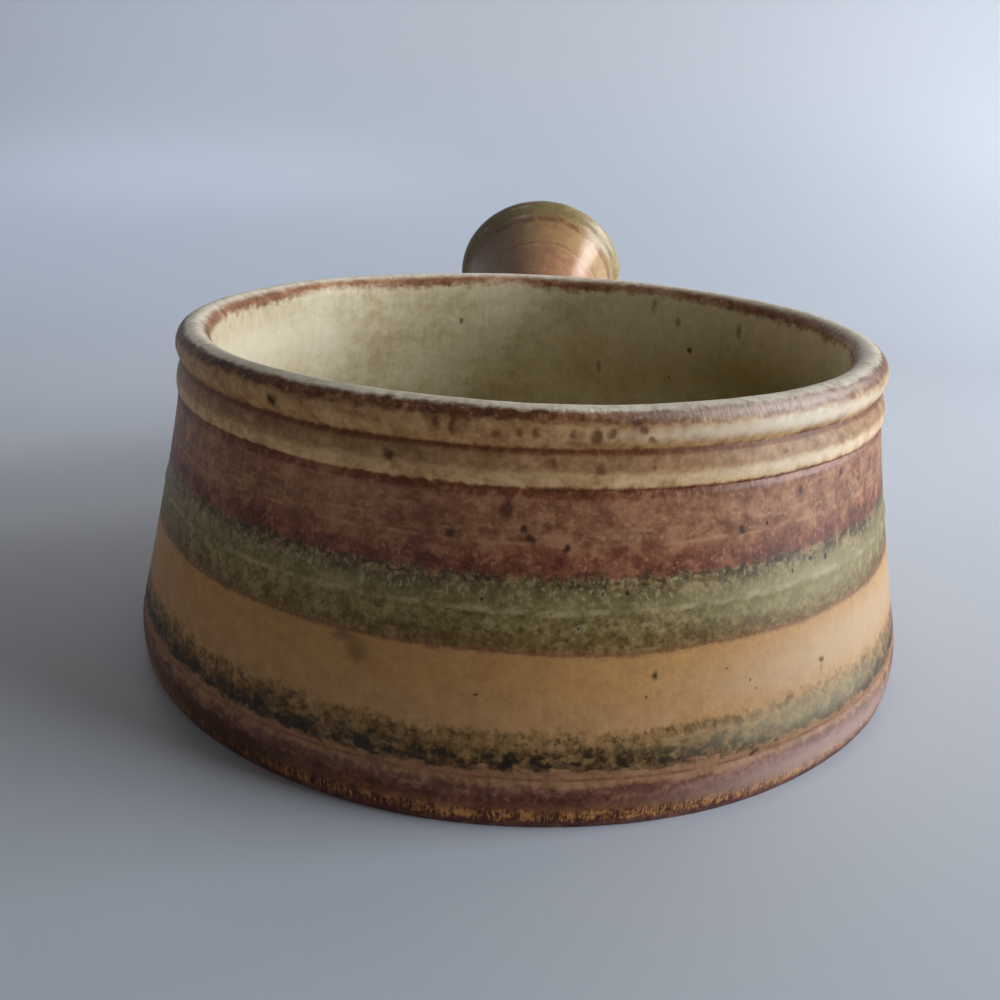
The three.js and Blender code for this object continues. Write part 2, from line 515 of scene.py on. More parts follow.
    def emboss(self, shader: bpy.types.Node, height: Feed, depth: float) -> None:
        """Gives a shader a relief.

        Args:
            shader: The Principled BSDF.
            height: Height of the relief, from 0 to 1.
            depth: Depth of the relief.
        """
        bump = self.node("ShaderNodeBump")
        bump.inputs["Distance"].default_value = depth
        self.feed(bump.inputs["Height"], height)
        self.feed(shader.inputs["Normal"], bump.outputs[0])


def new_group(
    name: str, inputs: dict[str, str], outputs: dict[str, str]
) -> tuple[Sheet, dict[str, Socket], bpy.types.Node]:
    """Starts a shader node group.

    Args:
        name: Name of the group.
        inputs: Type of each input, by name.
        outputs: Type of each output, by name.

    Returns:
        The sheet to draw on, the group's inputs by name, and the node that takes its outputs.
    """
    tree = bpy.data.node_groups.new(name, "ShaderNodeTree")
    for way, sockets in (("INPUT", inputs), ("OUTPUT", outputs)):
        for label, kind in sockets.items():
            tree.interface.new_socket(name=label, in_out=way, socket_type=f"NodeSocket{kind}")
    sheet = Sheet(tree)
    start = sheet.node("NodeGroupInput")
    end = sheet.node("NodeGroupOutput")
    return sheet, {label: start.outputs[label] for label in inputs}, end


@dataclass(frozen=True)
class Tones:
    """The three tones of a glaze, and how strongly each kind of mark moves between them."""

    dark: str
    middle: str
    light: str
    broad: float = 0.4
    cloud: float = 1.0
    blotch: float = 1.1
    mottle: float = 1.0
    streak: float = 0.2


@dataclass(frozen=True)
class Layer:
    """One glaze on the way up the wall, over the rim and inside, up to the next one's lower edge."""

    start: float
    tones: Tones
    soft: float = 0.3
    drift: float = 0.3
    dash: float = 0.0
    clump: float = 0.0
    blotch: float = 0.0
    grain: float = 0.0


@dataclass(frozen=True)
class Thread:
    """A thin line of another colour round the pot."""

    way: float
    width: float
    colour: str
    strength: float = 0.8
    drift: float = 0.4
    broken: float = 0.5


@dataclass(frozen=True)
class Flecks:
    """Small flecks of another colour between two ways."""

    low: float
    high: float
    size: float
    tall: float
    level: float
    colour: str
    strength: float = 0.7


@dataclass(frozen=True)
class Spots:
    """Iron spots scattered between two ways."""

    low: float
    high: float
    spacing: float
    size: float
    share: float
    tall: float
    colour: str


@dataclass(frozen=True)
class Spot:
    """One iron spot, stain, or broad patch of painted sheen or shade, placed by its angle round the pot,
    from +X towards +Y, and its way.
    """

    angle: float
    way: float
    width: float
    tall: float = 1.3
    colour: str = "#34180c"
    strength: float = 0.9
    core: float = 0.25


@dataclass(frozen=True)
class Ripples:
    """Fine upright ripples of glaze between two ways, which break up a highlight."""

    low: float
    high: float
    size: float
    tall: float
    depth: float


@dataclass(frozen=True)
class Coat:
    """Everything that a coat of glaze shows, in the order in which it is laid on."""

    layers: tuple[Layer, ...]
    threads: tuple[Thread, ...] = ()
    flecks: tuple[Flecks, ...] = ()
    spots: tuple[Spots, ...] = ()
    single_spots: tuple[Spot, ...] = ()
    ripples: tuple[Ripples, ...] = ()
    gloss: float = 0.44

    def stretch(self, low: float, high: float) -> "Coat":
        """Gives the part of the coat that shows between two ways.

        Args:
            low: The lower way.
            high: The upper way.

        Returns:
            A coat with only what reaches that stretch.
        """
        low, high = low - STRAY, high + STRAY
        ends = [layer.start for layer in self.layers[1:]] + [math.inf]

        def shows(start: float, end: float) -> bool:
            """Tells whether what lies between two ways reaches the stretch."""
            return end > low and start < high

        return replace(
            self,
            layers=tuple(layer for layer, end in zip(self.layers, ends) if shows(layer.start, end)),
            threads=tuple(thread for thread in self.threads if shows(thread.way, thread.way)),
            flecks=tuple(flecks for flecks in self.flecks if shows(flecks.low, flecks.high)),
            spots=tuple(spots for spots in self.spots if shows(spots.low, spots.high)),
            single_spots=tuple(spot for spot in self.single_spots if shows(spot.way, spot.way)),
            ripples=tuple(ripples for ripples in self.ripples if shows(ripples.low, ripples.high)),
        )


# Radius at which a wall is unrolled for its pattern.
UNROLLED_RADIUS = 64.0

# How far a mark may stray from its way.
STRAY = 5.0

# The rolled rim in section, which the way goes round.
ROLL_CENTRE_RADIUS = 59.25
ROLL_CENTRE_HEIGHT = 53.4
ROLL_RADIUS = 3.22
ROLL_END = ROLL_CENTRE_HEIGHT + math.pi * ROLL_RADIUS
LINER_END = ROLL_END + 60.0
SHOULDER_HEIGHT = 45.6
WALL_LEAN = 0.21

PINHOLE = "#0d0a06"
PINHOLE_RIM = "#aba783"
ROLL_IRON = "#5e2a08"

BOWL_COAT = Coat(
    layers=(
        # Bare edge, golden line and foot bead.
        Layer(-2.0, Tones("#42201a", "#5a3029", "#7d5348")),
        Layer(1.5, Tones("#4a2416", "#7a4b2c", "#b9854f", mottle=1.6, streak=1.6), 0.4, 0.3, dash=1.2),
        Layer(3.0, Tones("#623925", "#744931", "#875c3f"), 0.5, 0.3, dash=1.0, blotch=0.8),
        Layer(4.1, Tones("#482618", "#62392a", "#7d5444"), 0.6, 0.4, blotch=1.2),
        Layer(5.3, Tones("#5c372a", "#724b3c", "#946d5a"), 0.6, 0.4, blotch=1.2),
        # Tan strip and olive band.
        Layer(6.8, Tones("#815e44", "#977153", "#a88065"), 0.35, 0.4, clump=0.8, blotch=0.6),
        Layer(9.0, Tones("#2a1a06", "#4c3518", "#7a5f40"), 0.3, 0.5, clump=2.0, blotch=1.0),
        Layer(10.7, Tones("#4e3716", "#765c34", "#93764c"), 0.9, 0.5, clump=1.0, blotch=3.0),
        Layer(12.3, Tones("#70532c", "#907148", "#a8865e"), 1.2, 0.5, dash=0.6, blotch=2.5),
        # Buff band.
        Layer(
            14.0, Tones("#ae885b", "#b78e61", "#bf986d", mottle=0.7), 0.9, 0.7,
            dash=0.8, blotch=2.2, grain=0.6,
        ),
        Layer(18.5, Tones("#ae8350", "#b78d5a", "#c0955e", mottle=0.7), 2.4, 1.6, blotch=1.0),
        # Green band.
        Layer(24.2, Tones("#6a4a2a", "#86643f", "#a98260"), 0.35, 0.8, blotch=0.8, grain=0.3),
        Layer(25.0, Tones("#5c4620", "#745e34", "#8e784d"), 0.5, 0.6, blotch=1.2, grain=0.3),
        Layer(27.0, Tones("#665830", "#827349", "#a09066"), 1.5, 0.6, blotch=2.0),
        Layer(30.6, Tones("#665a38", "#7c6f48", "#988a64"), 0.8, 0.5, blotch=1.0),
        Layer(32.4, Tones("#4a3a24", "#746343", "#9e8b64"), 0.8, 0.5, dash=1.0, blotch=2.0),
        # Brown band.
        Layer(
            34.5, Tones("#582c1e", "#744230", "#94624a", 0.5, 1.5, 1.0, 0.6), 0.45, 0.8,
            dash=0.8, blotch=2.0, grain=0.4,
        ),
        Layer(
            37.0, Tones("#704230", "#88563f", "#a67658", 0.5, 1.5, 1.0, 0.6), 1.2, 0.6,
            dash=0.8, blotch=2.0,
        ),
        Layer(38.8, Tones("#704732", "#8e6248", "#a87c5e", 0.5, 1.2, 1.0, 0.6), 1.2, 0.8, blotch=1.5),
        Layer(41.5, Tones("#764b36", "#94664c", "#ae8264", 0.5, 1.2, 1.0, 0.6), 1.5, 0.8, blotch=1.5),
        # Step, bead, groove and rolled rim.
        Layer(44.7, Tones("#60351f", "#7a4931", "#a27258"), 0.25, 0.15, blotch=0.2),
        Layer(46.2, Tones("#aa875d", "#caaa7e", "#dfc29a", mottle=0.3), 0.3, 0.25, blotch=0.5),
        Layer(48.2, Tones("#826140", "#a07c58", "#ba9672", mottle=0.4), 0.5, 0.4, blotch=1.4),
        Layer(50.3, Tones("#643a22", "#7c4e33", "#9a6a4a"), 0.25, 0.15, blotch=0.2),
        Layer(51.1, Tones("#916b47", "#b59065", "#cbab80", mottle=0.3), 0.35, 0.15, blotch=0.4),
        # Break, crest, inner break and liner.
        Layer(
            54.8, Tones("#4e2a16", "#74482c", "#a67a58", 0.5, 1.3, 0.8, 0.3), 0.55, 0.8,
            clump=1.2, blotch=0.6,
        ),
        Layer(
            56.8, Tones("#d2c2a6", "#ece2cc", "#f8f2e4", mottle=0.2), 0.55, 0.4,
            clump=0.7, blotch=0.4,
        ),
        Layer(
            60.4, Tones("#643e26", "#946748", "#c09a78", 0.9, 0.9, 0.5, 0.15), 0.9, 0.8,
            clump=0.8, blotch=0.3,
        ),
        Layer(
            62.8, Tones("#b6a884", "#cfc4a4", "#dfd6be", 0.9, 0.7, 0.4, 0.1, 0.25), 0.9, 1.4,
            clump=1.6, blotch=0.5,
        ),
    ),
    threads=(
        Thread(7.7, 0.3, "#6e4020", 0.6, 0.4, 0.9),
        Thread(24.6, 0.4, "#7a4a30", 0.5, 0.6, 0.8),
        Thread(30.0, 0.6, "#bcb08c", 0.5, 0.8, 0.8),
        Thread(38.8, 0.4, "#b48e6a", 0.55, 0.9, 0.9),
        Thread(40.9, 0.4, "#b48e6a", 0.4, 1.2, 1.0),
        Thread(50.8, 0.22, "#5a3018", 0.6, 0.1, 0.5),
    ),
    flecks=(
        Flecks(1.5, 2.9, 0.3, 4.0, 0.58, "#d8a262", 0.7),
        Flecks(1.2, 2.6, 0.34, 2.0, 0.58, "#3a1a10", 0.7),
        Flecks(8.9, 11.4, 2.0, 0.7, 0.54, "#150d04", 0.85),
        Flecks(10.5, 14.0, 1.1, 1.1, 0.58, "#2e210b", 0.6),
        Flecks(24.6, 30.0, 1.2, 0.8, 0.6, "#44371a", 0.6),
        Flecks(31.0, 34.4, 0.6, 1.5, 0.62, "#b6b28e", 0.6),
        Flecks(33.2, 35.0, 1.6, 0.6, 0.55, "#2a2012", 0.75),
        Flecks(34.6, 37.8, 0.5, 1.3, 0.64, "#b98670", 0.6),
        Flecks(38.6, 44.4, 1.6, 0.6, 0.61, "#b99472", 0.5),
        Flecks(55.0, 56.8, 1.0, 1.2, 0.64, "#d0b48e", 0.4),
    ),
    spots=(
        Spots(52.0, 54.8, 6.0, 0.8, 0.4, 1.4, ROLL_IRON),
        Spots(46.5, 50.4, 7.0, 0.7, 0.35, 1.2, ROLL_IRON),
        Spots(35.5, 44.5, 8.0, 0.7, 0.4, 1.2, "#3a1d12"),
        Spots(26.0, 34.5, 7.0, 0.3, 0.4, 1.0, PINHOLE),
        Spots(14.5, 24.0, 7.5, 0.36, 0.4, 1.3, "#4a3016"),
        Spots(65.0, 110.0, 16.0, 0.7, 0.4, 1.4, "#5a4020"),
    ),
    single_spots=(
        # Broad pale patches round the lit right side: painted sheen, partly also a paler glaze there.
        Spot(-50.0, 53.2, 80.0, 0.045, "#e4dece", 0.75, 0.1),
        Spot(-53.0, 56.0, 66.0, 0.045, "#dac8bc", 0.8, 0.1),
        Spot(-48.0, 47.3, 64.0, 0.04, "#e4dac8", 0.55, 0.1),
        Spot(-49.0, 45.2, 50.0, 0.03, "#c0a094", 0.5, 0.1),
        Spot(-48.0, 29.5, 66.0, 0.15, "#aaa280", 0.45, 0.1),
        Spot(-50.0, 11.4, 58.0, 0.12, "#b0a688", 0.5, 0.1),
        Spot(-46.0, 4.2, 70.0, 0.09, "#bea6a0", 0.65, 0.1),
        Spot(-36.0, 19.0, 84.0, 0.15, "#c6b298", 0.6, 0.1),
        # Broad darker patches on the shaded left foot and crest: painted shade.
        Spot(-128.0, 3.0, 56.0, 0.12, "#1e0c04", 0.7, 0.1),
        Spot(-127.0, 58.6, 60.0, 0.07, "#8a8064", 0.6, 0.1),
        # Rolled rim.
        Spot(-122.8, 53.2, 3.6, 0.9, "#8a6a44", 0.6, 0.1),
        Spot(-122.8, 53.2, 2.4, 0.9, "#341604", 0.95),
        Spot(-99.5, 53.8, 1.5, 2.0, ROLL_IRON, 0.75),
        Spot(-97.5, 54.0, 1.5, 2.6, ROLL_IRON, 0.75),
        Spot(-92.3, 53.1, 1.5, 1.0, ROLL_IRON, 0.6),
        Spot(-89.9, 53.3, 1.5, 1.2, ROLL_IRON, 0.7),
        Spot(-87.7, 53.1, 1.7, 1.1, ROLL_IRON, 0.7),
        Spot(-83.4, 53.4, 1.5, 1.1, ROLL_IRON, 0.65),
        Spot(-80.6, 53.0, 2.2, 1.5, ROLL_IRON, 0.85),
        Spot(-78.9, 53.3, 1.7, 1.2, ROLL_IRON, 0.75),
        Spot(-75.0, 53.8, 1.6, 1.0, ROLL_IRON, 0.75),
        Spot(-73.9, 52.4, 1.6, 0.9, ROLL_IRON, 0.7),
        Spot(-40.0, 55.0, 2.4, 0.8, "#7a4a2e", 0.8),
        # Bead.
        Spot(-105.2, 48.7, 1.9, 1.1, "#3c1c08", 0.9),
        Spot(-85.5, 49.4, 1.8, 1.0, ROLL_IRON, 0.7),
        Spot(-80.0, 48.6, 2.2, 1.0, ROLL_IRON, 0.7),
        Spot(-73.5, 48.6, 1.1, 1.0, ROLL_IRON, 0.7),
        Spot(-54.0, 49.2, 1.5, 0.8, ROLL_IRON, 0.75),
        Spot(-48.0, 49.0, 1.6, 0.9, "#7a5636", 0.7),
        Spot(-42.0, 48.9, 1.9, 1.2, "#7a5636", 0.75),
        # Brown band.
        Spot(-97.2, 39.3, 1.9, 1.0),
        Spot(-90.8, 43.0, 2.2, 1.7, "#442417", 0.8),
        Spot(-88.6, 40.7, 1.8, 1.1),
        Spot(-87.8, 39.4, 1.6, 1.0),
        Spot(-83.4, 38.2, 1.6, 1.1),
        Spot(-60.9, 39.3, 1.5, 0.9, "#2a120a"),
        Spot(-50.7, 42.7, 2.6, 1.4, "#6e4030", 0.6, 0.1),
        Spot(-50.5, 43.0, 1.3, 1.0),
        Spot(-41.2, 43.6, 1.5, 1.2),
        # Green band.
        Spot(-93.0, 31.5, 0.8, 1.0, PINHOLE),
        Spot(-79.0, 32.7, 1.5, 1.0, PINHOLE_RIM, 0.6),
        Spot(-79.0, 32.7, 0.9, 1.0, PINHOLE),
        Spot(-76.2, 32.6, 0.7, 1.0, PINHOLE),
        Spot(-74.5, 32.5, 0.6, 1.0, PINHOLE),
        Spot(-82.0, 28.1, 1.2, 1.0, PINHOLE_RIM, 0.5),
        Spot(-82.0, 28.1, 0.6, 1.0, PINHOLE),
        Spot(-48.8, 32.8, 0.9, 1.0, PINHOLE),
        Spot(-45.5, 32.3, 1.0, 0.9, PINHOLE),
        Spot(-52.5, 32.1, 0.8, 1.0, PINHOLE),
        # Buff band and foot.
        Spot(-107.5, 22.0, 4.4, 1.1, "#4f4324", 0.6, 0.1),
        Spot(-109.5, 23.8, 4.6, 0.5, "#5a4a3c", 0.7, 0.1),
        Spot(-93.0, 18.7, 0.6, 1.0, "#4a3016"),
        Spot(-74.0, 18.5, 0.6, 1.2, "#4a3016"),
        Spot(-72.8, 21.2, 1.1, 1.6, "#3c2c14"),
        Spot(-63.5, 20.7, 0.5, 1.0, "#4a3016"),
        Spot(-59.2, 17.2, 0.6, 1.0),
        Spot(-47.8, 17.7, 1.3, 1.0, "#5a3e24", 0.9),
        Spot(-47.7, 16.4, 1.2, 1.8, "#8a6a46", 0.5, 0.1),
        Spot(-59.8, 7.9, 2.4, 0.5, "#3a1a0e", 0.95),
        # Liner: a painted pool of light on the lit left inside wall.
        Spot(178.0, 72.0, 110.0, 0.16, "#f0e8d2", 0.7, 0.1),
        # Painted shade deep on the shaded right inside wall.
        Spot(25.0, 80.0, 120.0, 0.3, "#86733e", 0.75, 0.1),
        # Iron spots in the liner.
        Spot(51.0, 73.9, 1.9, 1.3, "#3c2a12"),
        Spot(74.0, 81.5, 1.6, 3.0, "#6a5228", 0.6),
        Spot(108.0, 71.3, 1.5, 1.2, "#5a4424", 0.8),
        Spot(61.0, 64.9, 2.8, 1.6, "#6a4424", 0.6, 0.1),
        Spot(54.5, 67.9, 2.4, 1.4, "#5a4420", 0.65, 0.1),
        Spot(37.8, 67.1, 2.6, 1.8, "#5a4420", 0.65, 0.1),
    ),
    ripples=(
        Ripples(0.8, 3.0, 0.4, 3.0, 1.0),
        Ripples(44.6, 46.2, 0.6, 1.6, 0.8),
        Ripples(54.6, 57.4, 0.6, 1.6, 0.8),
    ),
)

HANDLE_COAT = Coat(
    layers=(
        Layer(-20.0, Tones("#4a2a18", "#6e4a2c", "#947048")),
        Layer(
            3.0, Tones("#8a5e42", "#a87c5a", "#c09a78", 0.8, 0.5, 0.2, 0.15), 1.5, 1.5,
            dash=1.5, blotch=1.0,
        ),
        Layer(45.2, Tones("#8c6a42", "#a8865a", "#bea27a", 0.8, 0.5, 0.2, 0.15), 3.0, 1.4, blotch=1.0),
        Layer(54.6, Tones("#76663e", "#968458", "#b6a67e", 0.8, 0.5, 0.2, 0.15), 0.9, 0.6),
    ),
    threads=(
        Thread(53.2, 1.5, "#64381c", 0.7, 1.6, 0.8),
        Thread(45.3, 0.6, "#6e4626", 0.4, 1.6, 0.7),
        Thread(44.2, 0.5, "#c8ac84", 0.25, 1.6, 0.8),
    ),
    spots=(Spots(4.0, 60.0, 9.0, 0.5, 0.3, 1.2, ROLL_IRON),),
    # Darker left flank of the handle: painted shade and a painted dark reflection.
    single_spots=(Spot(-165.0, 40.0, 113.0, 6.0, "#2e1e1a", 0.5, 0.74),),
    gloss=0.22,
)

# The noises that mottle every glaze, in millimetres.
FIELDS = {
    "broad": Cloud(22.0, 1.0, 1.0),
    "cloud": Cloud(3.4, 0.7, 3.0),
    "blotch": Cloud(1.6, 0.9, 3.0, 0.6),
    "mottle": Cloud(0.7, 1.1, 2.0, 0.6),
    "streak": Cloud(0.9, 8.0),
    "dash": Cloud(0.45, 3.2, 2.0, 0.6),
    "clump": Cloud(2.4, 0.6, 3.0, 0.6),
    "grain": Cloud(0.32, 1.0, 1.0),
}

# Those of them that move a glaze between its tones, and those that fray its lower edge.
TONE_FIELDS = ("broad", "cloud", "blotch", "mottle", "streak")
EDGE_FIELDS = ("dash", "clump", "blotch", "grain")

# Where the dark, middle and light tone of a glaze lie between 0 and 1.
GLAZE_STOPS = (0.2, 0.5, 0.8)

# Share of a thread's drift that clumps give, of its width that is even, and where clouds break it.
THREAD_CLUMP = 0.4
THREAD_CORE = 0.2
THREAD_BREAK = (0.4, 0.6)

# How far below and above its level a fleck's edge reaches, and how softly a stretch of flecks ends.
FLECK_EDGE = (0.06, 0.07)
FLECK_FADE = 0.8

# How softly a stretch of scattered spots or ripples ends.
SPOT_FADE = 0.4

# How far a single spot reaches, by its width, and how far and how finely its outline strays.
SPOT_REACH = 0.55
SPOT_WOBBLE = 1.2
SPOT_WOBBLE_SIZE = 1.5

# How far a glaze's roughness spreads about its gloss, and what its relief is made of.
GLOSS_SPREAD = 0.24
MOTTLE_RELIEF = 0.3
STREAK_RELIEF = 0.15
SPOT_RELIEF = -0.15

# Radii between which the flat floor turns into the unrolled wall.
FLAT_RADIUS = 30.0
ROUND_RADIUS = 50.0

# Patches and grains of bare clay, its tones between 0 and 1, and its roughness over the grains.
CLAY_PATCHES = Cloud(5.0, 1.0, 4.0, 0.65)
CLAY_GRAINS = Cloud(0.5)
CLAY_STOPS = (0.35, 0.5, 0.65)
CLAY_GRAIN_RANGE = (0.3, 0.7)
CLAY_ROUGHNESS = (0.7, 0.95)


class Wall:
    """An unrolled wall that one coat is laid on."""

    def __init__(self, sheet: Sheet, around: Socket, way: Socket) -> None:
        """Sets out the place, the way and the noises on the wall.

        Args:
            sheet: The sheet to draw on.
            around: The place round the wall.
            way: The way up the wall.
        """
        lift = sheet.node("ShaderNodeCombineXYZ", 0.0, 0.0, way)
        self.sheet = sheet
        self.way = way
        self.around = sheet.vector("ADD", around, lift.outputs[0])
        self.fields = {name: sheet.noise(self.around, cloud) for name, cloud in FIELDS.items()}

    def tone(self, tones: Tones) -> Socket:
        """Gives the colour of one glaze.

        Args:
            tones: The glaze's tones.

        Returns:
            The colour.
        """
        weights = {name: getattr(tones, name) for name in TONE_FIELDS}
        value = 0.5 - 0.5 * sum(weights.values())
        for name, weight in weights.items():
            value = self.sheet.math("MULTIPLY_ADD", self.fields[name], weight, value)
        return self.sheet.ramp(value, GLAZE_STOPS, (tones.dark, tones.middle, tones.light))

    def wavering(self, **shares: float) -> Socket:
        """Moves the way up and down by noises.

        Args:
            shares: How far each noise moves it, in millimetres.

        Returns:
            The moved way.
        """
        used = {name: 2 * share for name, share in shares.items() if share}
        value = self.sheet.math("ADD", self.way, -0.5 * sum(used.values()))
        for name, share in used.items():
            value = self.sheet.math("MULTIPLY_ADD", self.fields[name], share, value)
        return value

    def between(self, marks: Flecks | Spots | Ripples, soft: float) -> Socket:
        """Gives the mask of the stretch that marks are scattered over.

        Args:
            marks: The marks.
            soft: How softly the stretch ends.

        Returns:
            The mask.
        """
        above = self.sheet.rise(self.way, marks.low - soft, marks.low + soft)
        below = self.sheet.rise(self.way, marks.high + soft, marks.high - soft)
        return self.sheet.math("MULTIPLY", above, below)

    def layer_mask(self, layer: Layer) -> Socket:
        """Gives the mask of all that lies above a layer's frayed lower edge.

        Args:
            layer: The layer.

        Returns:
            The mask.
        """
        shares = {name: getattr(layer, name) for name in EDGE_FIELDS}
        edge = self.wavering(broad=layer.drift, **shares)
        return self.sheet.rise(edge, layer.start - layer.soft, layer.start + layer.soft)

    def thread_mask(self, thread: Thread) -> Socket:
        """Gives the mask of a thin line.

        Args:
            thread: The line.

        Returns:
            The mask.
        """
        moved = self.wavering(broad=thread.drift, clump=THREAD_CLUMP * thread.drift)
        away = self.sheet.math("ABSOLUTE", self.sheet.math("SUBTRACT", moved, thread.way))
        line = self.sheet.rise(away, thread.width, THREAD_CORE * thread.width, 0.0, thread.strength)
        kept = self.sheet.rise(self.fields["cloud"], *THREAD_BREAK, 1.0 - thread.broken, 1.0)
        return self.sheet.math("MULTIPLY", line, kept)

    def flecks_mask(self, flecks: Flecks) -> Socket:
        """Gives the mask of small flecks.

        Args:
            flecks: The flecks.

        Returns:
            The mask.
        """
        grain = self.sheet.noise(self.around, Cloud(flecks.size, flecks.tall, 2.0, 0.6))
        low, high = flecks.level - FLECK_EDGE[0], flecks.level + FLECK_EDGE[1]
        mask = self.sheet.rise(grain, low, high, 0.0, flecks.strength)
        return self.sheet.math("MULTIPLY", mask, self.between(flecks, FLECK_FADE))

    def spots_mask(self, spots: Spots) -> Socket:
        """Gives the mask of scattered spots."""
        mask = self.sheet.spots(self.around, spots.spacing, spots.tall, spots.size, spots.share)
        return self.sheet.math("MULTIPLY", mask, self.between(spots, SPOT_FADE))

    def strayed(self) -> Socket:
        """Gives the place round the wall, moved to and fro, which frays the outline of a single spot."""
        wobble = self.sheet.colour_noise(self.around, SPOT_WOBBLE_SIZE)
        return self.sheet.vector("MULTIPLY_ADD", wobble, (SPOT_WOBBLE,) * 3, self.around)

    def spot_mask(self, place: Socket, spot: Spot) -> Socket:
        """Gives the mask of a single spot.

        Args:
            place: The strayed place round the wall.
            spot: The spot.

        Returns:
            The mask.
        """
        turn = math.radians(spot.angle)
        squeeze = (1.0, 1.0, 1.0 / spot.tall)
        centre = (
            UNROLLED_RADIUS * math.cos(turn),
            UNROLLED_RADIUS * math.sin(turn),
            spot.way / spot.tall,
        )
        away = self.sheet.vector("DISTANCE", self.sheet.vector("MULTIPLY", place, squeeze), centre)
        reach = SPOT_REACH * spot.width
        return self.sheet.rise(away, reach, spot.core * reach, 0.0, spot.strength)

    def ripple_wave(self, ripples: Ripples) -> Socket:
        """Gives the height of fine ripples."""
        wave = self.sheet.noise(self.around, Cloud(ripples.size, ripples.tall, 1.0))
        return self.sheet.math("MULTIPLY", wave, self.between(ripples, SPOT_FADE))


class GlazeKitchen:
    """Mixes the glazes: the node groups that the materials share."""

    def __init__(self) -> None:
        """Builds the group that every coat uses."""
        self.place = self.mix_place()

    @staticmethod
    def mix_place() -> bpy.types.NodeTree:
        """Builds the group that unrolls a thrown wall.

        Returns:
            A group that gives a point's place round the wall, height and radius, in millimetres.
        """
        sheet, given, end = new_group(
            "thrown_place",
            {"Point": "Vector"},
            {"Around": "Vector", "Height": "Float", "Radius": "Float"},
        )
        point = sheet.shrink(given["Point"], MM)
        parts = sheet.node("ShaderNodeSeparateXYZ", point)
        flat = sheet.vector("MULTIPLY", point, (1.0, 1.0, 0.0))
        radius = sheet.vector("LENGTH", flat)
        unrolled = sheet.vector("SCALE", sheet.vector("NORMALIZE", flat))
        sheet.feed(unrolled.node.inputs["Scale"], UNROLLED_RADIUS)
        wall = sheet.rise(radius, FLAT_RADIUS, ROUND_RADIUS)
        round_wall = sheet.node("ShaderNodeMix", data_type="VECTOR")
        for index, feed in ((0, wall), (4, flat), (5, unrolled)):
            sheet.feed(round_wall.inputs[index], feed)
        sheet.feed(end.inputs["Around"], round_wall.outputs[1])
        sheet.feed(end.inputs["Height"], parts.outputs[2])
        sheet.feed(end.inputs["Radius"], radius)
        return sheet.tree

    @staticmethod
    def mix_coat(name: str, coat: Coat) -> bpy.types.NodeTree:
        """Builds the group of one coat.

        Args:
            name: Name of the group.
            coat: What the coat shows.

        Returns:
            A group with the coat's colour, roughness and relief.
        """
        sheet, given, end = new_group(
            name,
            {"Around": "Vector", "Way": "Float"},
            {"Color": "Color", "Roughness": "Float", "Relief": "Float"},
        )
        wall = Wall(sheet, given["Around"], given["Way"])
        colour = wall.tone(coat.layers[0].tones)
        for layer in coat.layers[1:]:
            colour = sheet.mix(wall.layer_mask(layer), colour, wall.tone(layer.tones))
        for thread in coat.threads:
            colour = sheet.mix(wall.thread_mask(thread), colour, paint(thread.colour))
        for flecks in coat.flecks:
            colour = sheet.mix(wall.flecks_mask(flecks), colour, paint(flecks.colour))
        masks = [(wall.spots_mask(spots), spots.colour) for spots in coat.spots]
        if coat.single_spots:
            place = wall.strayed()
            masks += [(wall.spot_mask(place, spot), spot.colour) for spot in coat.single_spots]
        dots = None
        for mask, code in masks:
            colour = sheet.mix(mask, colour, paint(code))
            dots = mask if dots is None else sheet.math("MAXIMUM", dots, mask)
        mottle, streak = wall.fields["mottle"], wall.fields["streak"]
        rough = sheet.math("MULTIPLY_ADD", mottle, GLOSS_SPREAD, coat.gloss - GLOSS_SPREAD / 2)
        relief = sheet.math("MULTIPLY", mottle, MOTTLE_RELIEF)
        relief = sheet.math("MULTIPLY_ADD", streak, STREAK_RELIEF, relief)
        for ripples in coat.ripples:
            relief = sheet.math("MULTIPLY_ADD", wall.ripple_wave(ripples), ripples.depth, relief)
        if dots is not None:
            relief = sheet.math("MULTIPLY_ADD", dots, SPOT_RELIEF, relief)
        for label, feed in (("Color", colour), ("Roughness", rough), ("Relief", relief)):
            sheet.feed(end.inputs[label], feed)
        return sheet.tree


@dataclass(frozen=True)
class GlazeFinish:
    """A glaze as a material: what its coat shows, the depth of its relief and its shine."""

    name: str
    coat: Coat
    relief: float = 0.12 * MM
    shine: float = 0.22


@dataclass(frozen=True)
class ClayFinish:
    """Bare stoneware: three tones, and the depth of its grit."""

    name: str
    dark: str
    middle: str
    light: str
    grit: float = 0.15 * MM


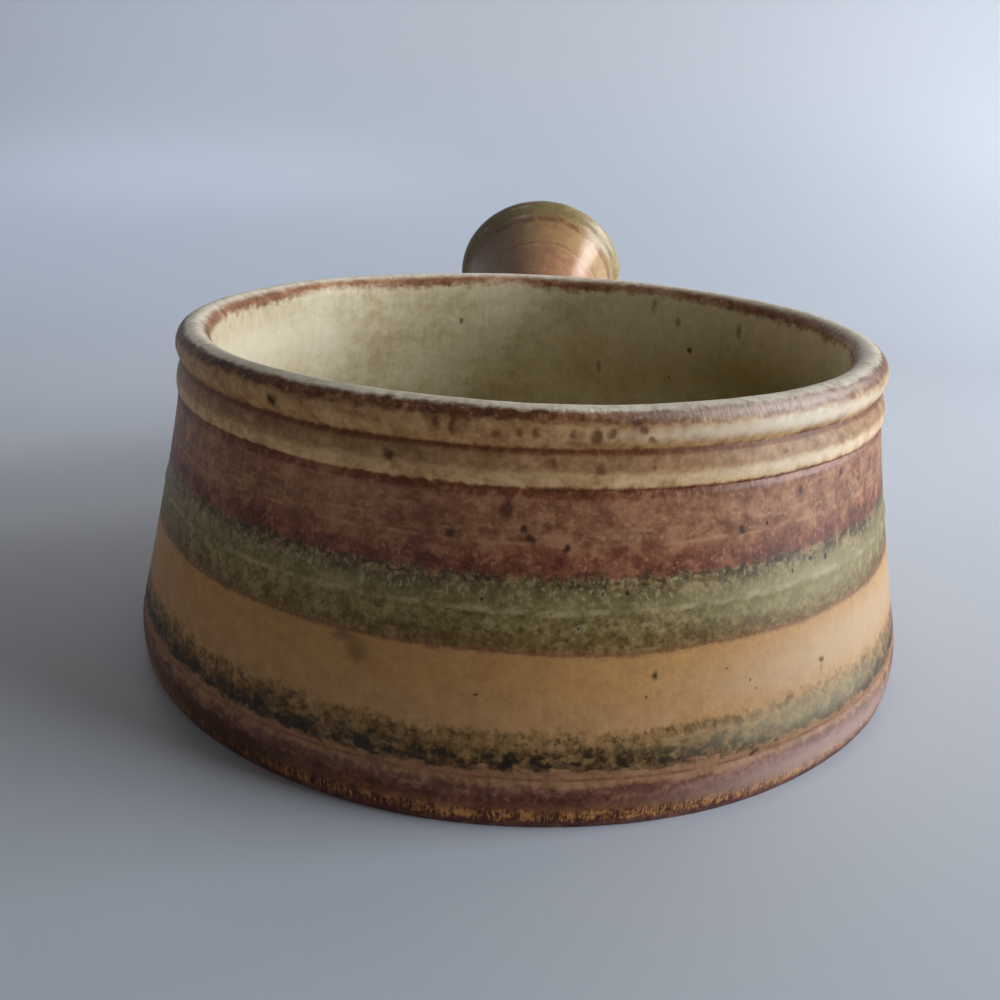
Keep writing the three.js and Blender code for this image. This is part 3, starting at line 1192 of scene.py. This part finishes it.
class Glazer:
    """Makes the materials."""

    def __init__(self, kitchen: GlazeKitchen) -> None:
        """Takes the place where the node groups come from."""
        self.kitchen = kitchen

    @staticmethod
    def new_material(name: str) -> tuple[bpy.types.Material, Sheet, bpy.types.Node]:
        """Starts a material.

        Args:
            name: Name of the material.

        Returns:
            The material, its sheet and its Principled BSDF.
        """
        material = bpy.data.materials.new(name)
        material.use_nodes = True
        return material, Sheet(material.node_tree), material.node_tree.nodes["Principled BSDF"]

    def pour(
        self, sheet: Sheet, shader: bpy.types.Node, finish: GlazeFinish, around: Feed, way: Feed
    ) -> None:
        """Joins a finish's coat to a shader.

        Args:
            sheet: The sheet to draw on.
            shader: The Principled BSDF.
            finish: The glaze's finish.
            around: The place round the wall.
            way: The way up the wall.
        """
        tree = self.kitchen.mix_coat(f"{finish.name}_coat", finish.coat)
        coat = sheet.group(tree, Around=around, Way=way)
        sheet.feed(shader.inputs["Base Color"], coat.outputs["Color"])
        sheet.feed(shader.inputs["Roughness"], coat.outputs["Roughness"])
        shader.inputs["Specular IOR Level"].default_value = finish.shine
        sheet.emboss(shader, coat.outputs["Relief"], finish.relief)

    def bowl_glaze(self, finish: GlazeFinish) -> bpy.types.Material:
        """Makes a glaze of the bowl.

        Args:
            finish: The glaze's finish.

        Returns:
            The material.
        """
        material, sheet, shader = self.new_material(finish.name)
        point = sheet.node("ShaderNodeTexCoord").outputs["Object"]
        place = sheet.group(self.kitchen.place, Point=point)
        height, radius = place.outputs["Height"], place.outputs["Radius"]
        lean = sheet.math("MAXIMUM", sheet.math("SUBTRACT", SHOULDER_HEIGHT, height), 0.0)
        middle = sheet.math("MULTIPLY_ADD", lean, WALL_LEAN, ROLL_CENTRE_RADIUS)
        across = sheet.math("SUBTRACT", radius, middle)
        above = sheet.math("MAXIMUM", sheet.math("SUBTRACT", height, ROLL_CENTRE_HEIGHT), 0.0)
        below = sheet.math("MAXIMUM", sheet.math("SUBTRACT", ROLL_CENTRE_HEIGHT, height), 0.0)
        over = sheet.math("MULTIPLY", sheet.math("ARCTAN2", above, across), ROLL_RADIUS)
        down = sheet.math("MULTIPLY", sheet.math("SIGN", across), below)
        way = sheet.math("ADD", sheet.math("SUBTRACT", over, down), ROLL_CENTRE_HEIGHT)
        self.pour(sheet, shader, finish, place.outputs["Around"], way)
        return material

    def handle_glaze(self, finish: GlazeFinish, root: Vector, tilt: float) -> bpy.types.Material:
        """Makes the handle's glaze.

        Args:
            finish: The glaze's finish.
            root: Where the handle's axis leaves the wall.
            tilt: Turn about X that stands the handle's axis up.

        Returns:
            The material.
        """
        material, sheet, shader = self.new_material(finish.name)
        point = sheet.node("ShaderNodeTexCoord").outputs["Object"]
        turn = (tilt, 0.0, 0.0)
        own = sheet.node("ShaderNodeMapping", point, tuple(root), turn, vector_type="TEXTURE")
        place = sheet.group(self.kitchen.place, Point=own.outputs[0])
        self.pour(sheet, shader, finish, place.outputs["Around"], place.outputs["Height"])
        return material

    def clay(self, finish: ClayFinish) -> bpy.types.Material:
        """Makes bare clay.

        Args:
            finish: The clay's finish.

        Returns:
            The material.
        """
        material, sheet, shader = self.new_material(finish.name)
        place = sheet.shrink(sheet.node("ShaderNodeTexCoord").outputs["Object"], MM)
        patches = sheet.math("MULTIPLY", sheet.noise(place, CLAY_PATCHES), 0.5)
        grains = sheet.noise(place, CLAY_GRAINS)
        mottle = sheet.math("MULTIPLY_ADD", grains, 0.5, patches)
        tones = (finish.dark, finish.middle, finish.light)
        sheet.feed(shader.inputs["Base Color"], sheet.ramp(mottle, CLAY_STOPS, tones))
        rough = sheet.rise(grains, *CLAY_GRAIN_RANGE, *CLAY_ROUGHNESS)
        sheet.feed(shader.inputs["Roughness"], rough)
        sheet.emboss(shader, grains, finish.grit)
        return material


class Band(Enum):
    """The bands of glaze on the outside of the bowl, from the foot up: CAD node and record slot."""

    FOOT = ("foot_band_glaze", "foot_glaze")
    OLIVE = ("olive_band_glaze", "olive_glaze")
    BUFF = ("buff_band_glaze", "buff_glaze")
    GREEN = ("green_band_glaze", "green_glaze")
    BROWN = ("brown_band_glaze", "brown_glaze")
    RIM = ("rim_glaze", "rim_glaze")

    @property
    def node(self) -> str:
        """Name of the CAD node."""
        return self.value[0]

    @property
    def slot(self) -> str:
        """Name of the record's slot."""
        return self.value[1]

    @property
    def finish(self) -> str:
        """Name of the band's material."""
        return f"{self.node}_finish"

    @property
    def top(self) -> float:
        """Height of the band's upper edge."""
        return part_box(self.node)[1].z


def dress(piece: bpy.types.Object, material: bpy.types.Material) -> None:
    """Gives a piece its one material.

    Args:
        piece: The piece.
        material: The material.
    """
    piece.data.materials.clear()
    piece.data.materials.append(material)


def settle(piece: bpy.types.Object, node: str) -> None:
    """Puts a piece on the part in place of its solid.

    Args:
        piece: The piece.
        node: The CAD node that it stands for.
    """
    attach(piece, BODY)
    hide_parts(node)
    log.info("%s: %d faces, for %s", piece.name, len(piece.data.polygons), node)


@dataclass
class Bowl:
    """The thrown bowl: its clay, its bands of glaze and its liner."""

    foot_radius: float = 70.4 * MM
    shoulder_radius: float = 61.75 * MM
    wall_thickness: float = 4.9 * MM
    floor_thickness: float = 6.5 * MM
    wall_sweep: float = 1.17
    glaze: float = 0.8 * MM
    coat_thickness: float = 0.7 * MM
    liner_relief: float = 0.06 * MM
    base_radius: float = 69.9 * MM
    base_press: float = 0.55 * MM
    foot_press: float = 0.2 * MM
    foot_round: float = 1.2 * MM
    bead_top: float = 6.8 * MM
    bead_bulge: float = 0.2 * MM
    bead_lean: float = 0.8
    groove_height: float = 7.6 * MM
    groove_depth: float = 0.4 * MM
    ridge_height: float = 30.0 * MM
    ridge_bulge: float = 0.2 * MM
    mark_width: float = 0.7 * MM
    shoulder: float = SHOULDER_HEIGHT * MM
    notch_depth: float = 0.25 * MM
    notch_width: float = 0.4 * MM
    rim_groove_radius: float = 60.45 * MM
    rim_groove_height: float = 50.9 * MM
    rim_bead_bulge: float = 0.85 * MM
    roll_from: float = -50.0
    roll_break: float = 150.0
    corner_radius: float = 18 * MM
    ripple_depth: float = 0.09 * MM
    ripple_pitch: float = 6.5 * MM
    floor_ring_depth: float = 0.12 * MM
    floor_ring_pitch: float = 7 * MM
    floor_steps: int = 40
    base_steps: int = 60
    steps: int = 400
    clay_steps: int = 256
    ring: float = 0.6 * MM
    rim_ring: float = 0.35 * MM
    inside_ring: float = 1.2 * MM
    clay_ring: float = 0.8 * MM
    clay_inside_ring: float = 2.0 * MM
    softening: int = 2

    def wall(self, height: float) -> float:
        """Gives the clay's radius on the plain wall at a height."""
        rest = max(0.0, self.shoulder - max(height, self.bead_top)) / (self.shoulder - self.bead_top)
        return self.shoulder_radius + (self.foot_radius - self.shoulder_radius) * rest ** self.wall_sweep

    def outside(self, height: float, cover: float) -> Vector:
        """Gives a point on the outside, below the shoulder.

        Args:
            height: Height of the point.
            cover: Thickness of the glaze over the clay.

        Returns:
            The point, in the XZ plane.
        """
        radius = self.wall(height) + cover
        under = max(0.0, 1 - height / self.foot_round)
        radius -= (self.foot_radius - self.base_radius) * under ** 2
        bead = (height - self.foot_round) / (self.bead_top - self.foot_round)
        if 0.0 < bead < 1.0:
            radius += self.bead_bulge * math.sin(math.pi * bead ** self.bead_lean)
        radius -= self.groove_depth * swell(height, self.groove_height, self.mark_width)
        radius += self.ridge_bulge * swell(height, self.ridge_height, self.mark_width)
        radius -= self.notch_depth * swell(height, self.shoulder, self.notch_width)
        return Vector((radius, 0.0, height))

    def roll(self, cover: float, start: float, end: float) -> list[Vector]:
        """Gives points round the rolled rim.

        Args:
            cover: Thickness of the glaze over the clay.
            start: Angle of the first point, in degrees, 0 pointing away from the axis and 90 up.
            end: Angle of the last point.

        Returns:
            The points.
        """
        centre = Vector((ROLL_CENTRE_RADIUS * MM, 0.0, ROLL_CENTRE_HEIGHT * MM))
        radius = ROLL_RADIUS * MM - self.glaze + cover
        turns = [math.radians(angle) for angle in spaced(start, end, ARC_STEPS)]
        return [centre + radius * Vector((math.cos(t), 0.0, math.sin(t))) for t in turns]

    def rim_bead(self, cover: float) -> list[Vector]:
        """Gives points up the bead under the rim, from the shoulder to the groove.

        Args:
            cover: Thickness of the glaze over the clay.

        Returns:
            The points.
        """
        low = self.outside(self.shoulder, cover)
        high = Vector((self.rim_groove_radius + cover, 0.0, self.rim_groove_height))
        points = []
        for turn in spaced(0.0, math.pi, ARC_STEPS)[1:]:
            point = low.lerp(high, (1 - math.cos(turn)) / 2)
            point.x += self.rim_bead_bulge * math.sin(turn)
            points.append(point)
        return points

    def outside_line(self, cover: float) -> list[Vector]:
        """Gives the outside from the base to the break over the rim.

        Args:
            cover: Thickness of the glaze over the clay.

        Returns:
            The points.
        """
        heights = spaced(0.0, self.shoulder, round(self.shoulder / self.ring))
        wall = [self.outside(height, cover) for height in heights]
        rim = [wall[-1], *self.rim_bead(cover), *self.roll(cover, self.roll_from, self.roll_break)]
        return [*wall[:-1], *soften(even_steps(rim, self.rim_ring), self.softening)]

    def inside_line(self, cover: float) -> list[Vector]:
        """Gives the inside from the break over the rim to the middle of the floor.

        Args:
            cover: Thickness of the glaze over the clay.

        Returns:
            The points.
        """
        floor = self.floor_thickness + cover
        corner_top = self.floor_thickness + self.corner_radius

        def inside(height: float) -> Vector:
            """Gives a point on the inside wall."""
            ripple = self.ripple_depth * math.sin(FULL_TURN * height / self.ripple_pitch)
            return Vector((self.wall(height) - self.wall_thickness - cover + ripple, 0.0, height))

        wall = [inside(height) for height in spaced(self.shoulder, corner_top, ARC_STEPS)]
        foot = inside(floor)
        middle = Vector((foot.x - self.corner_radius, 0.0, floor))
        corner = [
            wall[-1].lerp(foot, share).lerp(foot.lerp(middle, share), share)
            for share in spaced(0.0, 1.0, ARC_STEPS)[1:]
        ]
        ground = []
        for radius in spaced(middle.x, 0.0, self.floor_steps)[1:]:
            dip = self.floor_ring_depth * (math.cos(FULL_TURN * radius / self.floor_ring_pitch) - 1)
            ground.append(Vector((radius, 0.0, floor + dip)))
        start = self.roll(cover, self.roll_break, 180.0)
        line = even_steps([*start, *wall, *corner, *ground[:-1]], self.inside_ring)
        return [*soften(line, self.softening), Vector((0.0, 0.0, ground[-1].z))]

    def clay_line(self) -> list[Vector]:
        """Gives the clay's section, from the middle of the base round to the middle of the floor.

        Returns:
            The points.
        """
        radii = spaced(0.0, self.base_radius, self.base_steps)[:-3]
        base = [Vector((radius, 0.0, 0.0)) for radius in radii]
        up = even_steps([base[-1], *self.outside_line(0.0)], self.clay_ring)
        down = even_steps(self.inside_line(0.0), self.clay_inside_ring)
        return [*base[:-1], *up, *down[1:]]

    def build(self, glazer: Glazer, root_cutter: bpy.types.Object) -> None:
        """Models and dresses the bowl.

        Args:
            glazer: Where the materials come from.
            root_cutter: The space that the handle's root takes up.
        """
        body = Wheel.throw("bowl_clay", self.clay_line(), self.clay_steps, Vector(), UP)
        Wheel.make_uneven(body, HAND)
        Wheel.flatten_base(body, self.base_press)
        Wheel.finish(body)
        dress(body, glazer.clay(ClayFinish("bare_clay", "#3b1f16", "#6a3d2a", "#94624a")))
        settle(body, "bowl_body")

        skin = Wheel.throw("outside_skin", self.outside_line(self.glaze), self.steps, Vector(), UP)
        self.mark_bands(skin, glazer)
        Wheel.make_uneven(skin, HAND, GLAZE_RUN)
        for piece, band in self.part_bands(skin):
            Wheel.thicken(piece, self.coat_thickness)
            Wheel.cut(piece, root_cutter)
            if band is Band.FOOT:
                Wheel.flatten_base(piece, self.foot_press)
            Wheel.finish(piece)
            settle(piece, band.node)

        inside = self.inside_line(self.glaze)
        liner = Wheel.throw("liner_glaze_coat", inside, self.steps, Vector(), UP, inward=True)
        Wheel.make_uneven(liner, HAND, GLAZE_RUN)
        Wheel.thicken(liner, self.coat_thickness)
        Wheel.finish(liner)
        coat = BOWL_COAT.stretch(ROLL_CENTRE_HEIGHT, LINER_END)
        dress(liner, glazer.bowl_glaze(GlazeFinish("liner_glaze_finish", coat, self.liner_relief)))
        settle(liner, "liner_glaze")

    def build_core(self) -> bpy.types.Object:
        """Models the bowl's outside as a closed solid, which cuts the handle's root.

        Returns:
            The solid.
        """
        outside = self.outside_line(0.0)
        line = [Vector((0.0, 0.0, outside[0].z)), *outside, Vector((0.0, 0.0, outside[-1].z))]
        return Wheel.throw("bowl_wall", line, self.clay_steps, Vector(), UP)

    def mark_bands(self, skin: bpy.types.Object, glazer: Glazer) -> None:
        """Gives each face of the outside the material of its band.

        Args:
            skin: The outside of the bowl.
            glazer: Where the materials come from.
        """
        edges = [band.top for band in Band][:-1]
        ways = [edge / MM for edge in edges]
        for band, low, high in zip(Band, [0.0, *ways], [*ways, ROLL_END]):
            finish = GlazeFinish(band.finish, BOWL_COAT.stretch(low, high))
            skin.data.materials.append(glazer.bowl_glaze(finish))
        for face in skin.data.polygons:
            face.material_index = bisect(edges, face.center.z)

    @staticmethod
    def part_bands(skin: bpy.types.Object) -> list[tuple[bpy.types.Object, Band]]:
        """Parts the outside into its bands.

        Args:
            skin: The outside of the bowl.

        Returns:
            Each band's piece with its band.
        """
        Wheel.open(skin)
        bpy.ops.mesh.separate(type="MATERIAL")
        bpy.ops.object.mode_set(mode="OBJECT")
        pieces = {piece.data.materials[0].name: piece for piece in bpy.context.selected_objects}
        shelf = skin.users_collection[0]
        parted = []
        for band in Band:
            piece = pieces[band.finish]
            piece.name = f"{band.node}_coat"
            # The pieces come apart in any order, so each is put back in its turn.
            shelf.objects.unlink(piece)
            shelf.objects.link(piece)
            parted.append((piece, band))
        return parted


@dataclass
class Handle:
    """The hollow trumpet handle: its clay, its glaze and the slip of its joint."""

    height: float = 27.2 * MM
    reach: float = 65.36 * MM
    rise: float = 20.9
    length: float = 60 * MM
    waist_radius: float = 10.8 * MM
    lip_radius: float = 23 * MM
    flare_power: float = 2.6
    thickness: float = 4 * MM
    root_flare: float = 2.4 * MM
    root_flare_length: float = 12 * MM
    root_reach: float = 9 * MM
    roll_radius: float = 2.2 * MM
    bore_glaze: float = 16 * MM
    glaze: float = 0.8 * MM
    coat_thickness: float = 0.7 * MM
    shine: float = 0.5
    ripple_depth: float = 0.05 * MM
    ripple_pitch: float = 4.6 * MM
    lip_start: float = -50.0
    lip_end: float = 180.0
    cutter_length: float = 40 * MM
    steps: int = 192
    clay_steps: int = 128
    outside_steps: int = 80
    lip_steps: int = 20
    bore_steps: int = 30
    cutter_steps: int = 60
    ring: float = 0.7 * MM
    softening: int = 5

    @property
    def root(self) -> Vector:
        """Where the handle's axis leaves the wall."""
        return Vector((0.0, self.reach, self.height))

    @property
    def axis(self) -> Vector:
        """Direction of the handle's axis."""
        rise = math.radians(self.rise)
        return Vector((0.0, math.cos(rise), math.sin(rise)))

    def at(self, radius: float, distance: float) -> Vector:
        """Gives a point over the handle's axis.

        Args:
            radius: Distance from the axis.
            distance: Distance from the wall.

        Returns:
            The point.
        """
        rise = math.radians(self.rise)
        side = Vector((0.0, -math.sin(rise), math.cos(rise)))
        return self.root + self.axis * distance + side * radius

    def bore(self, distance: float) -> float:
        """Gives the bore's radius at a distance from the wall."""
        opening = max(0.0, distance / self.length) ** self.flare_power
        return self.waist_radius - self.thickness + (self.lip_radius - self.waist_radius) * opening

    def outside(self, distance: float, cover: float) -> float:
        """Gives the outside radius.

        Args:
            distance: Distance from the wall.
            cover: Thickness of the glaze over the clay.

        Returns:
            The radius.
        """
        spread = max(0.0, 1 - max(0.0, distance) / self.root_flare_length) ** 2
        ripple = self.ripple_depth * math.sin(FULL_TURN * distance / self.ripple_pitch)
        return self.bore(distance) + self.thickness + self.root_flare * spread + ripple + cover

    def skin_line(self, cover: float, bore_end: float) -> list[Vector]:
        """Gives the handle's outside, lip and bore as one line.

        Args:
            cover: Thickness of the glaze over the clay.
            bore_end: Distance from the wall at which the line ends in the bore.

        Returns:
            The points.
        """
        flare_end = self.length - 2 * self.roll_radius
        distances = spaced(-self.root_reach, flare_end, self.outside_steps)
        outside = [self.at(self.outside(s, cover), s) for s in distances]
        across, along = self.lip_radius - self.roll_radius, self.length - self.roll_radius
        radius = self.roll_radius + cover
        turns = [math.radians(angle) for angle in spaced(self.lip_start, self.lip_end, self.lip_steps)]
        lip = [self.at(across + radius * math.cos(t), along + radius * math.sin(t)) for t in turns]
        bore = [self.at(self.bore(s) - cover, s) for s in spaced(flare_end, bore_end, self.bore_steps)]
        return soften(even_steps([*outside, *lip, *bore], self.ring), self.softening)

    def build_cutter(self) -> bpy.types.Object:
        """Models the space that the handle's glazed root takes up in the wall's coats.

        Returns:
            A closed solid.
        """
        distances = spaced(-self.root_reach, self.cutter_length - self.root_reach, self.cutter_steps)
        line = [self.at(self.outside(s, self.glaze), s) for s in distances]
        cutter = Wheel.throw("handle_root_space", line, self.steps, self.root, self.axis)
        Wheel.close_ends(cutter)
        return cutter

    def build(self, glazer: Glazer, bowl: Bowl) -> None:
        """Models and dresses the handle.

        Args:
            glazer: Where the materials come from.
            bowl: The bowl that carries it.
        """
        wall = bowl.build_core()
        skin = self.skin_line(self.glaze, self.length - self.bore_glaze)
        coat = Wheel.throw("handle_glaze_coat", skin, self.steps, self.root, self.axis)
        Wheel.make_uneven(coat, GLAZE_RUN)
        Wheel.thicken(coat, self.coat_thickness)
        Wheel.cut(coat, wall)
        Wheel.finish(coat)
        tilt = math.radians(self.rise) - math.pi / 2
        finish = GlazeFinish("handle_glaze_finish", HANDLE_COAT, shine=self.shine)
        dress(coat, glazer.handle_glaze(finish, self.root, tilt))
        settle(coat, "handle_glaze")

        tube = self.skin_line(0.0, -self.root_reach)
        clay = Wheel.throw("handle_clay_tube", [*tube, tube[0]], self.clay_steps, self.root, self.axis)
        Wheel.make_uneven(clay, CLAY_GRIT)
        Wheel.cut(clay, wall)
        Wheel.clean(clay)
        Wheel.finish(clay)
        dress(clay, glazer.clay(ClayFinish("handle_clay", "#4a2a1d", "#7a4c36", "#9c6e54")))
        settle(clay, "handle")
        bpy.data.objects.remove(wall)

        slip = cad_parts["luting_slip"]
        dress(slip, glazer.clay(ClayFinish("luting_slip_finish", "#4a2e22", "#6f4b39", "#8a6550")))
        log.info("%s: %d faces, as packed", slip.name, len(slip.data.polygons))


@dataclass(frozen=True)
class Lamp:
    """A soft lamp: where it stands and points, its size, its power in watts, its light and its beam."""

    name: str
    place: Vector
    target: Vector
    size: tuple[float, float]
    power: float
    colour: str
    spread: float = 180.0

    def add(self) -> None:
        """Adds the lamp to the scene."""
        bpy.ops.object.light_add(type="AREA", location=self.place)
        lamp = bpy.context.object
        lamp.name = self.name
        lamp.rotation_mode = "QUATERNION"
        lamp.rotation_quaternion = (self.target - self.place).to_track_quat("-Z", "Y")
        lamp.data.shape = "RECTANGLE"
        lamp.data.size, lamp.data.size_y = self.size
        lamp.data.energy = self.power
        lamp.data.color = paint(self.colour)
        lamp.data.spread = math.radians(self.spread)
        lamp.visible_camera = False


# Where the photograph was taken from.
EYE = Vector((0.003257, -0.181, 0.08886))

# Distance from the bowl's middle to the backdrop.
BACKDROP_DISTANCE = 0.36

# What the lamps point at.
BOWL_MIDDLE = Vector((0.0, 0.0, 0.03))
HANDLE_LIP = Vector((0.02, 0.11, 0.06))
BACKDROP_LEFT = Vector((-0.3, BACKDROP_DISTANCE, 0.12))

LAMPS = (
    Lamp("key_light", Vector((0.65, -0.06, 0.21)), BOWL_MIDDLE, (0.5, 0.5), 6.2, "#f6faff"),
    Lamp("low_fill", Vector((-0.52, -0.6, 0.09)), BOWL_MIDDLE, (0.9, 0.16), 0.36, "#f4f2f0"),
    Lamp("handle_glint", Vector((0.345, 0.235, 0.24)), HANDLE_LIP, (0.15, 0.15), 0.034, "#fff4f4", 40.0),
    Lamp("backdrop_light", Vector((-0.4, 0.02, 0.55)), BACKDROP_LEFT, (0.5, 0.3), 0.26, "#e4edff", 70.0),
)

BLACK = (0.0, 0.0, 0.0)


@dataclass
class Studio:
    """The camera, the light and the pale ground."""

    eye: Vector
    yaw: float = -0.0417
    pitch: float = 0.3595
    roll: float = 0.0408
    focal_length: float = 35.596
    sensor_width: float = 36.0
    nearest: float = 0.005
    room: str = "#fff0dc"
    room_level: float = 0.055
    surround: str = "#dbe4f0"
    surround_level: float = 0.42
    lit_ground: str = "#efe4d6"
    seen_ground: tuple[str, str] = ("#d0dbea", "#d8e2ee")
    ground_clouds: Cloud = Cloud(0.2)
    ground_roughness: float = 0.35
    ground_crease: float = 60.0
    fade_start: float = 0.4
    fade_end: float = 0.62
    fade_level: float = 0.34
    glare_middle: tuple[float, float, float] = (0.62, -0.06, 0.0)
    glare_core: float = 0.1
    glare_reach: float = 0.42
    glare_share: float = 0.95
    glare_rough: float = 0.4
    bend: float = 0.12
    bend_steps: int = 16
    reach: float = 6.0

    def set_camera(self) -> None:
        """Sets the camera where the photograph was taken from."""
        level = math.cos(self.pitch)
        ahead = Vector((math.sin(self.yaw) * level, math.cos(self.yaw) * level, -math.sin(self.pitch)))
        bpy.ops.object.camera_add(location=self.eye)
        camera = bpy.context.object
        camera.rotation_mode = "QUATERNION"
        camera.rotation_quaternion = ahead.to_track_quat("-Z", "Y") @ Quaternion(UP, self.roll)
        camera.data.sensor_width = self.sensor_width
        camera.data.lens = self.focal_length
        camera.data.clip_start = self.nearest
        bpy.context.scene.camera = camera

    def set_light(self) -> None:
        """Sets a soft key light on the right, a low fill on the left, a lit backdrop and a dim room."""
        for lamp in LAMPS:
            lamp.add()
        world = bpy.data.worlds.new("pale_room")
        bpy.context.scene.world = world
        world.use_nodes = True
        background = world.node_tree.nodes["Background"]
        sheet = Sheet(world.node_tree)
        seen = self.seen_rays(sheet)
        colour = sheet.mix(seen, paint(self.room), paint(self.surround))
        level = sheet.rise(seen, 0.0, 1.0, self.room_level, self.surround_level)
        sheet.feed(background.inputs["Color"], colour)
        sheet.feed(background.inputs["Strength"], level)

    @staticmethod
    def seen_rays(sheet: Sheet) -> Socket:
        """Tells what the camera sees from what only lights the bowl.

        Args:
            sheet: The sheet to draw on.

        Returns:
            1 where the camera sees a surface, straight, mirrored or through glass.
        """
        rays = sheet.node("ShaderNodeLightPath")
        seen = sheet.math("MAXIMUM", rays.outputs["Is Camera Ray"], rays.outputs["Is Glossy Ray"])
        return sheet.math("MAXIMUM", seen, rays.outputs["Is Transmission Ray"])

    def set_ground(self, glazer: Glazer) -> None:
        """Lays a pale floor that rises into a backdrop.

        Args:
            glazer: Where the material is made.
        """
        bend_start = BACKDROP_DISTANCE - self.bend
        line = [Vector((0.0, -self.reach, 0.0)), Vector((0.0, bend_start, 0.0))]
        for turn in spaced(0.0, math.pi / 2, self.bend_steps)[1:]:
            across, up = self.bend * math.sin(turn), self.bend - self.bend * math.cos(turn)
            line.append(Vector((0.0, bend_start + across, up)))
        line.append(Vector((0.0, BACKDROP_DISTANCE, self.reach)))
        floor = Wheel.draw("pale_ground", line)
        bpy.ops.mesh.extrude_region_move(TRANSFORM_OT_translate={"value": (2 * self.reach, 0.0, 0.0)})
        bpy.ops.mesh.select_all(action="SELECT")
        bpy.ops.transform.translate(value=(-self.reach, 0.0, 0.0))
        bpy.ops.mesh.normals_make_consistent(inside=False)
        bpy.ops.object.mode_set(mode="OBJECT")
        Wheel.finish(floor, self.ground_crease)
        dress(floor, self.ground_finish(glazer))

    def ground_finish(self, glazer: Glazer) -> bpy.types.Material:
        """Makes the ground's material, which fades out far away and is dimmed under the key light.

        Args:
            glazer: Where the material is made.

        Returns:
            The material.
        """
        material, sheet, shader = glazer.new_material("pale_ground")
        point = sheet.node("ShaderNodeTexCoord").outputs["Object"]
        seen = self.seen_rays(sheet)
        first, second = (paint(code) for code in self.seen_ground)
        pale = sheet.mix(sheet.noise(point, self.ground_clouds), first, second)
        colour = sheet.mix(seen, paint(self.lit_ground), pale)
        far = sheet.rise(sheet.vector("LENGTH", point), self.fade_start, self.fade_end)
        faded = sheet.math("MULTIPLY", seen, far)
        away = sheet.vector("DISTANCE", point, self.glare_middle)
        glare = sheet.rise(away, self.glare_reach, self.glare_core, 0.0, self.glare_share)
        dark = sheet.math("MAXIMUM", faded, sheet.math("MULTIPLY", seen, glare))
        rough = sheet.rise(glare, 0.0, self.glare_rough, self.ground_roughness, 1.0)
        sheet.feed(shader.inputs["Base Color"], sheet.mix(dark, colour, BLACK))
        sheet.feed(shader.inputs["Roughness"], rough)
        sheet.feed(shader.inputs["Emission Color"], sheet.mix(faded, BLACK, paint(self.surround)))
        shader.inputs["Emission Strength"].default_value = self.fade_level
        return material


def main() -> None:
    """Builds the studio and the bowl."""
    logging.basicConfig(level=logging.INFO, format="%(relativeCreated)6.0f %(name)s %(message)s")
    bpy.context.scene.view_settings.view_transform = "Standard"
    glazer = Glazer(GlazeKitchen())
    studio = Studio(EYE)
    studio.set_camera()
    studio.set_light()
    studio.set_ground(glazer)
    bowl, handle = Bowl(), Handle()
    cutter = handle.build_cutter()
    bowl.build(glazer, cutter)
    handle.build(glazer, bowl)
    bpy.data.objects.remove(cutter)


if __name__ == "__main__":
    main()
